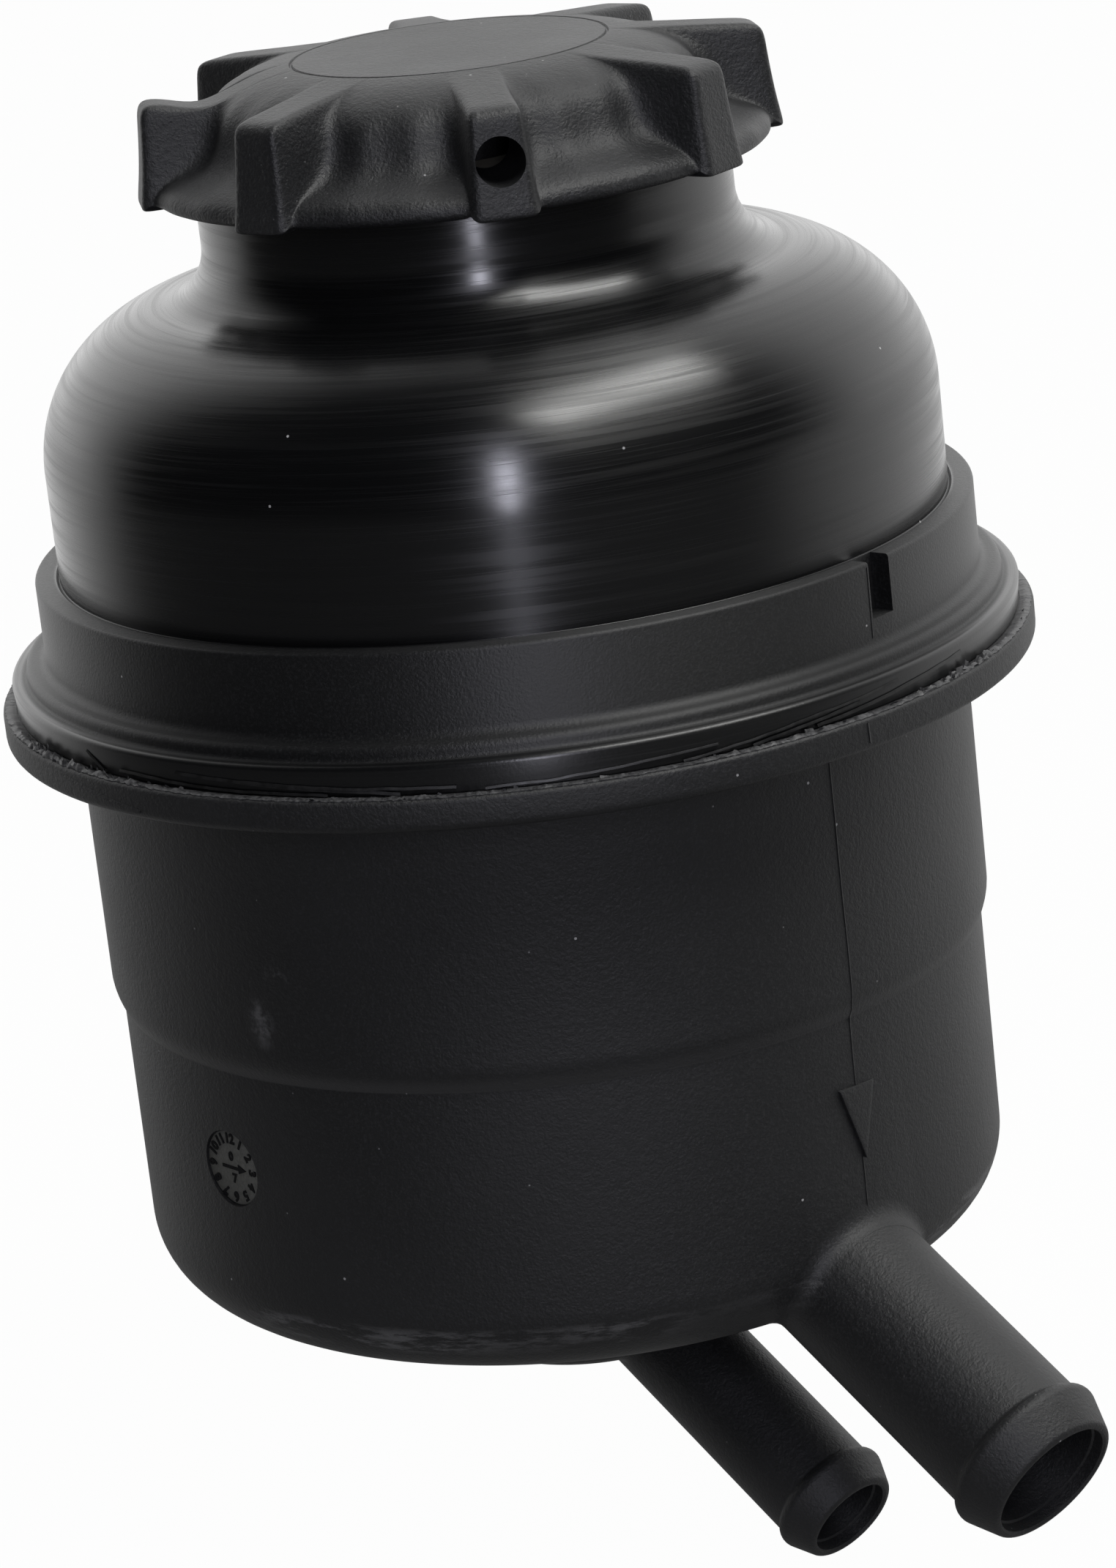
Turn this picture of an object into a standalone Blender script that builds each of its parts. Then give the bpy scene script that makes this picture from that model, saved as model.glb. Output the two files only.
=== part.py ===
"""Power steering reservoir: the construction, at real size.

Blender 4.5, metres, +Z up. The frame's origin lies on the vessel's axis, in the plane of the weld rim's
underside, where the clamp bracket takes hold. The front of the vessel looks along -Y.
Every object left visible is one sub-part; the cutters are hidden.
"""

import math

import bmesh
import bpy
from mathutils import Matrix, Vector

MM = 0.001

# Facets on the turned pieces, and on small round pieces and cutters
TURN_STEPS = 56
INNER_STEPS = 40
SMALL_STEPS = 28
BORE_STEPS = 24

# Running clearance between pieces that fit together, and the thinner one between pieces that are joined
FIT = 0.3 * MM
JOINED = 0.1 * MM

# Lower cup: wall, floor and rim (heights above the rim's underside)
WALL = 2.5 * MM
CUP_UPPER_RADIUS = 45.4 * MM
CUP_STEP_DEPTH = 0.9 * MM
CUP_LOWER_RADIUS = CUP_UPPER_RADIUS - CUP_STEP_DEPTH
CUP_BOTTOM_Z = -60.0 * MM
CUP_CORNER_RADIUS = 8.0 * MM
CUP_STEP_TOP_Z = -25.6 * MM
CUP_STEP_HEIGHT = 3.2 * MM
RIM_OVERHANG = 7.2 * MM
RIM_RADIUS = CUP_UPPER_RADIUS + RIM_OVERHANG
RIM_HEIGHT = 3.35 * MM
RIM_EDGE_RADIUS = 1.0 * MM
RIM_TOP_EDGE = 0.35 * MM

# Boss under the cup's floor and the riser above it
BOSS_RADIUS = 15.0 * MM
BOSS_BOTTOM_Z = -71.3 * MM
BOSS_EDGE_RADIUS = 3.0 * MM
BOSS_ROOT_RADIUS = 2.0 * MM
BOSS_FLOOR = 4.5 * MM
RISER_RADIUS = 7.0 * MM
RISER_BORE_RADIUS = 4.2 * MM
RISER_TOP_Z = -38.0 * MM
RISER_CHAMFER = 1.0 * MM
RISER_BASE_RADIUS = 10.0 * MM
RISER_BASE_HEIGHT = 6.0 * MM

# Both nipples lie in one upright plane and point down and outward
NIPPLE_AZIMUTH = math.radians(-51.6)
NIPPLE_TILT = math.radians(29.0)
NIPPLE_MOUTH_CHAMFER = 0.45 * MM

# Suction nipple (large): its end face centre, measured out from the axis and up from the origin
SUCTION_REACH = 23.35 * MM
SUCTION_OUT = CUP_LOWER_RADIUS + SUCTION_REACH
SUCTION_Z = -71.8 * MM
SUCTION_RADIUS = 8.0 * MM
SUCTION_BORE_RADIUS = 6.3 * MM
SUCTION_BEAD_RADIUS = 8.75 * MM
SUCTION_BEAD_LENGTH = 5.2 * MM
SUCTION_FACE_RADIUS = 7.5 * MM

# Return nipple (small): it crosses the vessel's axis inside the boss
RETURN_OUT = 37.8 * MM
RETURN_CROSSING_Z = -63.2 * MM
RETURN_RADIUS = 5.9 * MM
RETURN_BORE_RADIUS = 4.15 * MM
RETURN_BEAD_RADIUS = 6.45 * MM
RETURN_BEAD_LENGTH = 4.4 * MM
RETURN_FACE_RADIUS = 5.4 * MM

# Upper shell: its dome stands just inside the cup's wall, and each step below is wider than the one above
DOME_INSET = 0.3 * MM
DOME_RADIUS = CUP_UPPER_RADIUS - DOME_INSET
BAND_STEP = 2.5 * MM
BAND_RADIUS = DOME_RADIUS + BAND_STEP
BAND_TOP_Z = 16.25 * MM
BAND_ROOT_RADIUS = 0.9 * MM
BAND_EDGE_RADIUS = 0.3 * MM
STEP_OVERHANG = 2.1 * MM
STEP_RADIUS = BAND_RADIUS + STEP_OVERHANG
STEP_HEIGHT = 1.4 * MM
STEP_EDGE_RADIUS = 0.7 * MM
DISC_OVERHANG = 1.6 * MM
DISC_RADIUS = STEP_RADIUS + DISC_OVERHANG
DISC_THICKNESS = 2.95 * MM
SHOULDER_RADIUS = 15.5 * MM
SHOULDER_CENTRE_Z = 27.0 * MM
NECK_RADIUS = 26.7 * MM
NECK_ROOT_RADIUS = 5.5 * MM
NECK_TOP_Z = 53.2 * MM
NECK_WALL = 3.3 * MM
NECK_BORE_RADIUS = NECK_RADIUS - NECK_WALL
NECK_EDGE_RADIUS = 0.5 * MM
NECK_INNER_EDGE_RADIUS = 3.0 * MM

# Slot in the shell's band
SLOT_AZIMUTH = math.radians(-42.4)
SLOT_WIDTH = 3.2 * MM
SLOT_DEPTH = 2.2 * MM
SLOT_BOTTOM_Z = 10.6 * MM

# Cap thread: a round-crested coarse thread on the cap's plug, and its groove in the neck
THREAD_PITCH = 4.0 * MM
THREAD_CREST = 0.9 * MM
THREAD_CLEARANCE = 0.35 * MM
THREAD_TURNS = 1.5
THREAD_START_DEPTH = 7.2 * MM
THREAD_START_Z = NECK_TOP_Z - THREAD_START_DEPTH
THREAD_START_AZIMUTH = math.radians(37.3)
THREAD_STEPS = 24

# Cap: its skirt hangs a little below the neck's top, and its plug goes down into the neck
CAP_SKIRT_OVERLAP = 0.3 * MM
CAP_BOTTOM_Z = NECK_TOP_Z - CAP_SKIRT_OVERLAP
CAP_HEIGHT = 11.7 * MM
CAP_TOP_Z = CAP_BOTTOM_Z + CAP_HEIGHT
CAP_SHOULDER_INSET = 2.3 * MM
CAP_SHOULDER_RADIUS = NECK_RADIUS - CAP_SHOULDER_INSET
CAP_SHOULDER_RUN = 8.4 * MM
CAP_FACE_RADIUS = CAP_SHOULDER_RADIUS - CAP_SHOULDER_RUN
CAP_SHOULDER_DROP = 4.4 * MM
CAP_SHOULDER_Z = CAP_TOP_Z - CAP_SHOULDER_DROP
CAP_SKIRT_TAPER = 4.5 * MM
CAP_SKIRT_HEIGHT = 4.0 * MM
CAP_SKIRT_TOP_Z = CAP_BOTTOM_Z + CAP_SKIRT_HEIGHT
CAP_SKIRT_OVERHANG = 4.2 * MM
CAP_SKIRT_RADIUS = NECK_RADIUS + CAP_SKIRT_OVERHANG
CAP_SKIRT_TOP_RADIUS = CAP_SKIRT_RADIUS - CAP_SKIRT_TAPER
CAP_SKIRT_LIP = 0.6 * MM
CAP_ROOF = 2.4 * MM
CAP_PLUG_RADIUS = NECK_BORE_RADIUS - 0.4 * MM
CAP_PLUG_DEPTH = 9.7 * MM
CAP_PLUG_BOTTOM_Z = NECK_TOP_Z - CAP_PLUG_DEPTH
CAP_PLUG_CHAMFER = 0.8 * MM
CAP_PLUG_WALL = 2.5 * MM
CAP_SOCKET_RADIUS = 6.0 * MM
CAP_SOCKET_DEPTH = 10.6 * MM
CAP_SOCKET_BOTTOM_Z = CAP_TOP_Z - CAP_SOCKET_DEPTH

# Grip wings
WING_COUNT = 8
WING_FIRST_AZIMUTH = math.radians(-83.4)
WING_ROOT_OVERLAP = 1.0 * MM
WING_INNER_RADIUS = CAP_FACE_RADIUS - WING_ROOT_OVERLAP
WING_FOOT_OVERLAP = 0.9 * MM
WING_FOOT_INNER_RADIUS = CAP_SKIRT_RADIUS - WING_FOOT_OVERLAP
WING_OVERHANG = 1.3 * MM
WING_FOOT_RADIUS = CAP_SKIRT_RADIUS + WING_OVERHANG
WING_LEAN = 1.2 * MM
WING_TOP_RADIUS = WING_FOOT_RADIUS - WING_LEAN
WING_TOP_WIDTH = 5.3 * MM
WING_FOOT_WIDTH = 6.6 * MM
WING_END_DROP = 1.6 * MM
WING_END_Z = CAP_TOP_Z - WING_END_DROP
WING_FOOT_DROP = 0.2 * MM
WING_FOOT_Z = CAP_BOTTOM_Z - WING_FOOT_DROP
WING_EDGE_RADIUS = 0.7 * MM
VENT_RADIUS = 2.6 * MM
VENT_HEIGHT = 5.5 * MM
VENT_Z = CAP_BOTTOM_Z + VENT_HEIGHT

# Cap seal, splash disc and dipstick
SEAL_THICKNESS = 1.1 * MM
SEAL_GAP = 0.2 * MM
SPLASH_THICKNESS = 1.4 * MM
SPLASH_NOTCHES = 4
SPLASH_NOTCH_RADIUS = 2.0 * MM
STICK_HEAD_RADIUS = 3.1 * MM
STICK_HEAD_LENGTH = 7.6 * MM
STICK_COLLAR_RADIUS = 5.4 * MM
STICK_COLLAR_HEIGHT = 1.6 * MM
STICK_WIDTH = 5.0 * MM
STICK_THICKNESS = 2.4 * MM
STICK_END_Z = -1.0 * MM
STICK_MARKS_Z = (13.0 * MM, 24.0 * MM)
STICK_MARK_WIDTH = 7.4 * MM
STICK_MARK_HEIGHT = 1.2 * MM

# Baffle plate, clamped in a rebate of the cup's rim
PLATE_THICKNESS = 1.5 * MM
PLATE_REBATE_RADIUS = CUP_UPPER_RADIUS + 0.2 * MM
PLATE_HOLE_RADIUS = 9.0 * MM
PLATE_PORTS = 4
PLATE_PORT_RADIUS = 7.0 * MM
PLATE_PORT_CIRCLE = 29.0 * MM
SPIGOT_OUTER_RADIUS = 12.9 * MM
SPIGOT_INNER_RADIUS = 11.5 * MM
SPIGOT_HEIGHT = 3.2 * MM

# Filter element, standing on the riser's base
FILTER_RADIUS = 30.8 * MM
FILTER_DISC = 1.1 * MM
FILTER_LIP = 1.0 * MM
FILTER_LIP_HEIGHT = 3.4 * MM
FILTER_TOP_Z = -11.8 * MM
GROMMET_FLANGE_RADIUS = 11.4 * MM
GROMMET_FLANGE = 1.6 * MM
GROMMET_NECK_RADIUS = 9.1 * MM
CORE_RADIUS = 17.7 * MM
CORE_WALL = 1.2 * MM
CORE_WINDOWS_ROUND = 6
CORE_WINDOW_ROWS = 3
CORE_WINDOW_WIDTH = 10.0 * MM
CORE_WINDOW_HEIGHT = 8.4 * MM
PLEAT_COUNT = 36
PLEAT_PAPER = 0.7 * MM
PLEAT_INNER_RADIUS = 18.6 * MM

# Filter spring
SPRING_WIRE_RADIUS = 0.8 * MM
SPRING_TURNS = 3.5
SPRING_END_TURNS = 0.6
SPRING_STEPS = 16


def clear_scene():
    for item in list(bpy.data.objects):
        bpy.data.objects.remove(item, do_unlink=True)


def make_material(name, colour, roughness, metallic=0.0):
    material = bpy.data.materials.new(name)
    material.use_nodes = True
    shader = material.node_tree.nodes["Principled BSDF"]
    shader.inputs["Base Color"].default_value = (*colour, 1.0)
    shader.inputs["Roughness"].default_value = roughness
    shader.inputs["Metallic"].default_value = metallic
    material.diffuse_color = (*colour, 1.0)
    return material


def link(name, mesh, material=None):
    item = bpy.data.objects.new(name, mesh)
    bpy.context.collection.objects.link(item)
    if material is not None:
        mesh.materials.append(material)
    return item


def arc(centre_r, centre_z, radius, start_deg, end_deg, steps):
    """Points of an arc in the (r, z) plane, both ends included."""
    points = []
    for step in range(steps + 1):
        angle = math.radians(start_deg + (end_deg - start_deg) * step / steps)
        points.append((centre_r + radius * math.cos(angle), centre_z + radius * math.sin(angle)))
    return points


def soft_step(low, high, steps):
    """An S-shaped run from one (r, z) point to another."""
    points = []
    for step in range(steps + 1):
        share = step / steps
        eased = 0.5 - 0.5 * math.cos(math.pi * share)
        points.append((low[0] + (high[0] - low[0]) * eased, low[1] + (high[1] - low[1]) * share))
    return points


def turned(name, profile, closed, material=None, steps=TURN_STEPS):
    """A turned solid: a profile of (r, z) points spun about Z by a Screw modifier.

    The profile runs with the material on its left. It is a closed ring, or starts and ends on the axis.
    """
    mesh = bpy.data.meshes.new(name)
    shape = bmesh.new()
    corners = [shape.verts.new((r, 0.0, z)) for r, z in profile]
    for first, second in zip(corners, corners[1:]):
        shape.edges.new((first, second))
    if closed:
        shape.edges.new((corners[-1], corners[0]))
    shape.to_mesh(mesh)
    shape.free()
    item = link(name, mesh, material)
    screw = item.modifiers.new("Turn", "SCREW")
    screw.axis = "Z"
    screw.angle = math.tau
    screw.steps = steps
    screw.render_steps = steps
    screw.use_merge_vertices = True
    screw.merge_threshold = 1e-6
    screw.use_normal_flip = True
    screw.use_smooth_shade = False
    return item


def round_bar(name, radius, length, steps=SMALL_STEPS):
    """A plain cylinder along local Z, from z = 0 to z = length."""
    mesh = bpy.data.meshes.new(name)
    shape = bmesh.new()
    bmesh.ops.create_cone(
        shape, cap_ends=True, segments=steps, radius1=radius, radius2=radius, depth=length,
        matrix=Matrix.Translation((0.0, 0.0, length / 2)))
    shape.to_mesh(mesh)
    shape.free()
    return link(name, mesh)


def block(name, low, high, material=None):
    """A box between two corners."""
    mesh = bpy.data.meshes.new(name)
    shape = bmesh.new()
    bmesh.ops.create_cube(shape, size=1.0)
    low = Vector(low)
    high = Vector(high)
    size = high - low
    bmesh.ops.scale(shape, vec=size, verts=shape.verts)
    bmesh.ops.translate(shape, vec=(low + high) / 2, verts=shape.verts)
    shape.to_mesh(mesh)
    shape.free()
    return link(name, mesh, material)


def helix_bar(name, radius, wire_radius, heights, turns, start_azimuth=0.0, steps=THREAD_STEPS):
    """A round bar wound about Z. heights gives z for a share of the way from 0 to 1."""
    curve = bpy.data.curves.new(name, "CURVE")
    curve.dimensions = "3D"
    curve.bevel_depth = wire_radius
    curve.bevel_resolution = 1
    curve.use_fill_caps = True
    spline = curve.splines.new("POLY")
    count = round(turns * steps) + 1
    spline.points.add(count - 1)
    for index, point in enumerate(spline.points):
        share = index / (count - 1)
        angle = start_azimuth + share * turns * math.tau
        point.co = (radius * math.cos(angle), radius * math.sin(angle), heights(share), 1.0)
    item = bpy.data.objects.new(name, curve)
    bpy.context.collection.objects.link(item)
    bpy.ops.object.select_all(action="DESELECT")
    item.select_set(True)
    bpy.context.view_layer.objects.active = item
    bpy.ops.object.convert(target="MESH")
    bar = bpy.context.view_layer.objects.active
    weld_ends(bar.data)
    return bar


def weld_ends(mesh):
    """Join a converted curve's end caps to its sides."""
    shape = bmesh.new()
    shape.from_mesh(mesh)
    bmesh.ops.remove_doubles(shape, verts=shape.verts, dist=1e-6)
    shape.to_mesh(mesh)
    shape.free()


def join(name, items):
    """Several cutters or bodies that don't meet, as one object."""
    bpy.ops.object.select_all(action="DESELECT")
    for item in items:
        item.select_set(True)
    bpy.context.view_layer.objects.active = items[0]
    if len(items) > 1:
        bpy.ops.object.join()
    joined = bpy.context.view_layer.objects.active
    joined.name = name
    return joined


def combine(target, tool, operation):
    """Add, cut or keep with a hidden tool object."""
    tool.hide_render = True
    tool.display_type = "WIRE"
    modifier = target.modifiers.new(tool.name, "BOOLEAN")
    modifier.operation = operation
    modifier.object = tool
    modifier.solver = "EXACT"
    return modifier


def radial(azimuth, out, z):
    return Vector((out * math.cos(azimuth), out * math.sin(azimuth), z))


def aim_down_nipple(item, out, z):
    """Place a piece whose local +Z runs outward along a nipple."""
    item.location = radial(NIPPLE_AZIMUTH, out, z)
    item.rotation_euler = (0.0, math.pi / 2 + NIPPLE_TILT, NIPPLE_AZIMUTH)


def nipple_solid(name, radius, bead_radius, bead_length, face_radius, length, material):
    """A nipple without its bore. Its end face is at local z = 0 and it runs back along -Z."""
    crest_back = -0.78 * bead_length
    crest_front = -0.50 * bead_length
    profile = [
        (0.0, -length),
        (radius, -length),
        (radius, -bead_length),
        (bead_radius, crest_back),
        (bead_radius, crest_front),
        (face_radius, 0.0),
        (0.0, 0.0),
    ]
    return turned(name, profile, closed=False, material=material, steps=SMALL_STEPS)


def nipple_bore(name, bore_radius, length):
    """A nipple's bore with its mouth chamfer, open past the end face."""
    past_face = 2 * NIPPLE_MOUTH_CHAMFER
    profile = [
        (0.0, -length),
        (bore_radius, -length),
        (bore_radius, -NIPPLE_MOUTH_CHAMFER),
        (bore_radius + NIPPLE_MOUTH_CHAMFER + past_face, past_face),
        (0.0, past_face),
    ]
    return turned(name, profile, closed=False, steps=BORE_STEPS)


def suction_length():
    """The suction tube starts where its lowest line is still inside the floor."""
    rise = CUP_BOTTOM_Z + SUCTION_RADIUS / math.cos(NIPPLE_TILT) - SUCTION_Z
    return rise / math.sin(NIPPLE_TILT) + 1.0 * MM


def return_length():
    """From the return nipple's end face back to the vessel's axis."""
    return RETURN_OUT / math.cos(NIPPLE_TILT)


def return_face_z():
    return RETURN_CROSSING_Z - RETURN_OUT * math.tan(NIPPLE_TILT)


def make_bores():
    """The two bores, which cut the cup's wall and the nipples alike."""
    suction_bore = nipple_bore("suction_bore", SUCTION_BORE_RADIUS, suction_length() + 5.0 * MM)
    aim_down_nipple(suction_bore, SUCTION_OUT, SUCTION_Z)
    return_bore = nipple_bore("return_bore", RETURN_BORE_RADIUS, return_length())
    aim_down_nipple(return_bore, RETURN_OUT, return_face_z())
    return suction_bore, return_bore


def boss_outline(swell=0.0):
    """The boss's outer profile, from its middle to its side, grown outward by swell."""
    edge_r = BOSS_RADIUS - BOSS_EDGE_RADIUS
    edge_z = BOSS_BOTTOM_Z + BOSS_EDGE_RADIUS
    return [(0.0, BOSS_BOTTOM_Z - swell)] + arc(edge_r, edge_z, BOSS_EDGE_RADIUS + swell, -90, 0, 2)


def cup_outline(swell=0.0):
    """The cup's outer profile, from the fillet round the boss to the rim's top, grown outward by swell."""
    step_low_z = CUP_STEP_TOP_Z - CUP_STEP_HEIGHT
    corner_r = CUP_LOWER_RADIUS - CUP_CORNER_RADIUS
    corner_z = CUP_BOTTOM_Z + CUP_CORNER_RADIUS
    root_r = BOSS_RADIUS + BOSS_ROOT_RADIUS
    root_z = CUP_BOTTOM_Z - BOSS_ROOT_RADIUS
    outer = arc(root_r, root_z, BOSS_ROOT_RADIUS - swell, 180, 90, 2)
    outer += arc(corner_r, corner_z, CUP_CORNER_RADIUS + swell, -90, 0, 6)
    outer += soft_step((CUP_LOWER_RADIUS + swell, step_low_z), (CUP_UPPER_RADIUS + swell, CUP_STEP_TOP_Z), 4)
    outer += [(CUP_UPPER_RADIUS + swell, 0.0)]
    outer += arc(RIM_RADIUS - RIM_EDGE_RADIUS, RIM_EDGE_RADIUS, RIM_EDGE_RADIUS, -90, 0, 2)
    outer += [(RIM_RADIUS, RIM_HEIGHT - RIM_TOP_EDGE), (RIM_RADIUS - RIM_TOP_EDGE, RIM_HEIGHT), (0.0, RIM_HEIGHT)]
    return outer


def make_lower_cup(material, bores):
    """The cup without the boss, which stands in a round hole in its floor."""
    root_z = CUP_BOTTOM_Z - BOSS_ROOT_RADIUS
    cup = turned("lower_cup", [(0.0, root_z)] + cup_outline(), closed=False, material=material)

    floor_z = CUP_BOTTOM_Z + WALL
    step_low_z = CUP_STEP_TOP_Z - CUP_STEP_HEIGHT
    corner_r = CUP_LOWER_RADIUS - CUP_CORNER_RADIUS
    corner_z = CUP_BOTTOM_Z + CUP_CORNER_RADIUS
    ledge_z = RIM_HEIGHT - PLATE_THICKNESS - 2 * JOINED
    above_z = RIM_HEIGHT + 3.0 * MM
    below_z = BOSS_BOTTOM_Z
    hole_r = BOSS_RADIUS + JOINED
    hollow = [(0.0, below_z), (hole_r, below_z), (hole_r, floor_z)]
    hollow += arc(corner_r, corner_z, CUP_CORNER_RADIUS - WALL, -90, 0, 5)
    hollow += soft_step((CUP_LOWER_RADIUS - WALL, step_low_z), (CUP_UPPER_RADIUS - WALL, CUP_STEP_TOP_Z), 3)
    hollow += [(CUP_UPPER_RADIUS - WALL, ledge_z), (PLATE_REBATE_RADIUS, ledge_z)]
    hollow += [(PLATE_REBATE_RADIUS, above_z), (0.0, above_z)]
    cup_hollow = turned("cup_hollow", hollow, closed=False)
    combine(cup, cup_hollow, "DIFFERENCE")
    for bore in bores:
        combine(cup, bore, "DIFFERENCE")
    return cup


def make_riser_boss(material, return_bore):
    """The boss under the floor and the riser above it, turned as one, with the return bore let in."""
    floor_z = CUP_BOTTOM_Z + WALL
    base_z = floor_z + RISER_BASE_HEIGHT
    riser_floor_z = BOSS_BOTTOM_Z + BOSS_FLOOR
    profile = boss_outline()
    profile += [(BOSS_RADIUS, floor_z), (RISER_BASE_RADIUS, floor_z), (RISER_BASE_RADIUS, base_z)]
    profile += [(RISER_RADIUS, base_z), (RISER_RADIUS, RISER_TOP_Z - RISER_CHAMFER)]
    profile += [(RISER_RADIUS - RISER_CHAMFER, RISER_TOP_Z), (RISER_BORE_RADIUS, RISER_TOP_Z)]
    profile += [(RISER_BORE_RADIUS, riser_floor_z), (0.0, riser_floor_z)]
    boss = turned("riser_boss", profile, closed=False, material=material, steps=INNER_STEPS)
    combine(boss, return_bore, "DIFFERENCE")
    return boss


def make_nipples(material, bores):
    """Both nipples end on the outside of the cup and boss. Really all four are one moulding."""
    cup_seat = turned("cup_seat", boss_outline(JOINED) + cup_outline(JOINED), closed=False)
    suction = nipple_solid(
        "suction_nipple", SUCTION_RADIUS, SUCTION_BEAD_RADIUS, SUCTION_BEAD_LENGTH, SUCTION_FACE_RADIUS,
        suction_length(), material)
    aim_down_nipple(suction, SUCTION_OUT, SUCTION_Z)
    return_tube = nipple_solid(
        "return_nipple", RETURN_RADIUS, RETURN_BEAD_RADIUS, RETURN_BEAD_LENGTH, RETURN_FACE_RADIUS,
        return_length() - RISER_BORE_RADIUS, material)
    aim_down_nipple(return_tube, RETURN_OUT, return_face_z())
    for nipple, bore in zip((suction, return_tube), bores):
        combine(nipple, cup_seat, "DIFFERENCE")
        combine(nipple, bore, "DIFFERENCE")


def make_upper_shell(material):
    weld_z = RIM_HEIGHT + JOINED
    disc_z = weld_z + DISC_THICKNESS
    step_z = disc_z + STEP_HEIGHT
    shoulder_r = DOME_RADIUS - SHOULDER_RADIUS
    root_r = NECK_RADIUS + NECK_ROOT_RADIUS
    reach = SHOULDER_RADIUS + NECK_ROOT_RADIUS
    root_z = SHOULDER_CENTRE_Z + math.sqrt(reach ** 2 - (root_r - shoulder_r) ** 2)
    blend = math.degrees(math.atan2(root_z - SHOULDER_CENTRE_Z, root_r - shoulder_r))
    inner_r = DOME_RADIUS - WALL
    inner_top_z = SHOULDER_CENTRE_Z + SHOULDER_RADIUS - WALL
    inner_edge_r = NECK_BORE_RADIUS + NECK_INNER_EDGE_RADIUS
    profile = [(inner_r, weld_z), (DISC_RADIUS, weld_z), (DISC_RADIUS, disc_z), (STEP_RADIUS, disc_z)]
    profile += arc(STEP_RADIUS - STEP_EDGE_RADIUS, step_z - STEP_EDGE_RADIUS, STEP_EDGE_RADIUS, 0, 90, 2)
    profile += arc(BAND_RADIUS + BAND_ROOT_RADIUS, step_z + BAND_ROOT_RADIUS, BAND_ROOT_RADIUS, 270, 180, 2)
    profile += arc(BAND_RADIUS - BAND_EDGE_RADIUS, BAND_TOP_Z - BAND_EDGE_RADIUS, BAND_EDGE_RADIUS, 0, 90, 1)
    profile += [(DOME_RADIUS, BAND_TOP_Z)]
    profile += arc(shoulder_r, SHOULDER_CENTRE_Z, SHOULDER_RADIUS, 0, blend, 9)
    profile += arc(root_r, root_z, NECK_ROOT_RADIUS, blend + 180, 180, 4)[1:]
    profile += arc(
        NECK_RADIUS - NECK_EDGE_RADIUS, NECK_TOP_Z - NECK_EDGE_RADIUS, NECK_EDGE_RADIUS, 0, 90, 1)
    profile += [(NECK_BORE_RADIUS, NECK_TOP_Z)]
    profile += arc(inner_edge_r, inner_top_z + NECK_INNER_EDGE_RADIUS, NECK_INNER_EDGE_RADIUS, 180, 270, 2)
    profile += arc(shoulder_r, SHOULDER_CENTRE_Z, SHOULDER_RADIUS - WALL, 90, 0, 6)
    shell = turned("upper_shell", profile, closed=True, material=material)

    slot = block(
        "band_slot", (BAND_RADIUS - SLOT_DEPTH, -SLOT_WIDTH / 2, SLOT_BOTTOM_Z),
        (BAND_RADIUS + 2.0 * MM, SLOT_WIDTH / 2, BAND_TOP_Z + 2.0 * MM))
    slot.rotation_euler = (0.0, 0.0, SLOT_AZIMUTH)
    combine(shell, slot, "DIFFERENCE")

    # The groove follows the cap's thread from its lower end to above the neck's rim
    groove_start_turns = -0.06
    groove_turns = (NECK_TOP_Z + 2.0 * MM - THREAD_START_Z) / THREAD_PITCH

    def groove_height(share):
        return THREAD_START_Z + THREAD_PITCH * (groove_start_turns + share * (groove_turns - groove_start_turns))

    groove = helix_bar(
        "neck_groove", CAP_PLUG_RADIUS, THREAD_CREST + THREAD_CLEARANCE, groove_height,
        groove_turns - groove_start_turns, THREAD_START_AZIMUTH + groove_start_turns * math.tau)
    combine(shell, groove, "DIFFERENCE")
    return shell


def make_wings():
    """The eight grip wings, as one object of separate solids."""
    wings = []
    for index in range(WING_COUNT):
        low = (WING_INNER_RADIUS, -WING_FOOT_WIDTH / 2, WING_FOOT_Z)
        high = (WING_FOOT_RADIUS, WING_FOOT_WIDTH / 2, CAP_TOP_Z)
        wing = block("wing_%d" % index, low, high)
        for vertex in wing.data.vertices:
            at_top = vertex.co.z > WING_END_Z
            at_end = vertex.co.x > CAP_FACE_RADIUS
            if at_top:
                vertex.co.y = math.copysign(WING_TOP_WIDTH / 2, vertex.co.y)
                vertex.co.z = WING_END_Z if at_end else CAP_TOP_Z - JOINED
            if at_top and at_end:
                vertex.co.x = WING_TOP_RADIUS
            if not at_top and not at_end:
                vertex.co.x = WING_FOOT_INNER_RADIUS
        rounding = wing.modifiers.new("Round", "BEVEL")
        rounding.width = WING_EDGE_RADIUS
        rounding.segments = 2
        rounding.limit_method = "NONE"
        bpy.ops.object.select_all(action="DESELECT")
        wing.select_set(True)
        bpy.context.view_layer.objects.active = wing
        bpy.ops.object.convert(target="MESH")
        wing.rotation_euler = (0.0, 0.0, WING_FIRST_AZIMUTH + index * math.tau / WING_COUNT)
        wings.append(wing)
    return join("cap_wings", wings)


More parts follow.
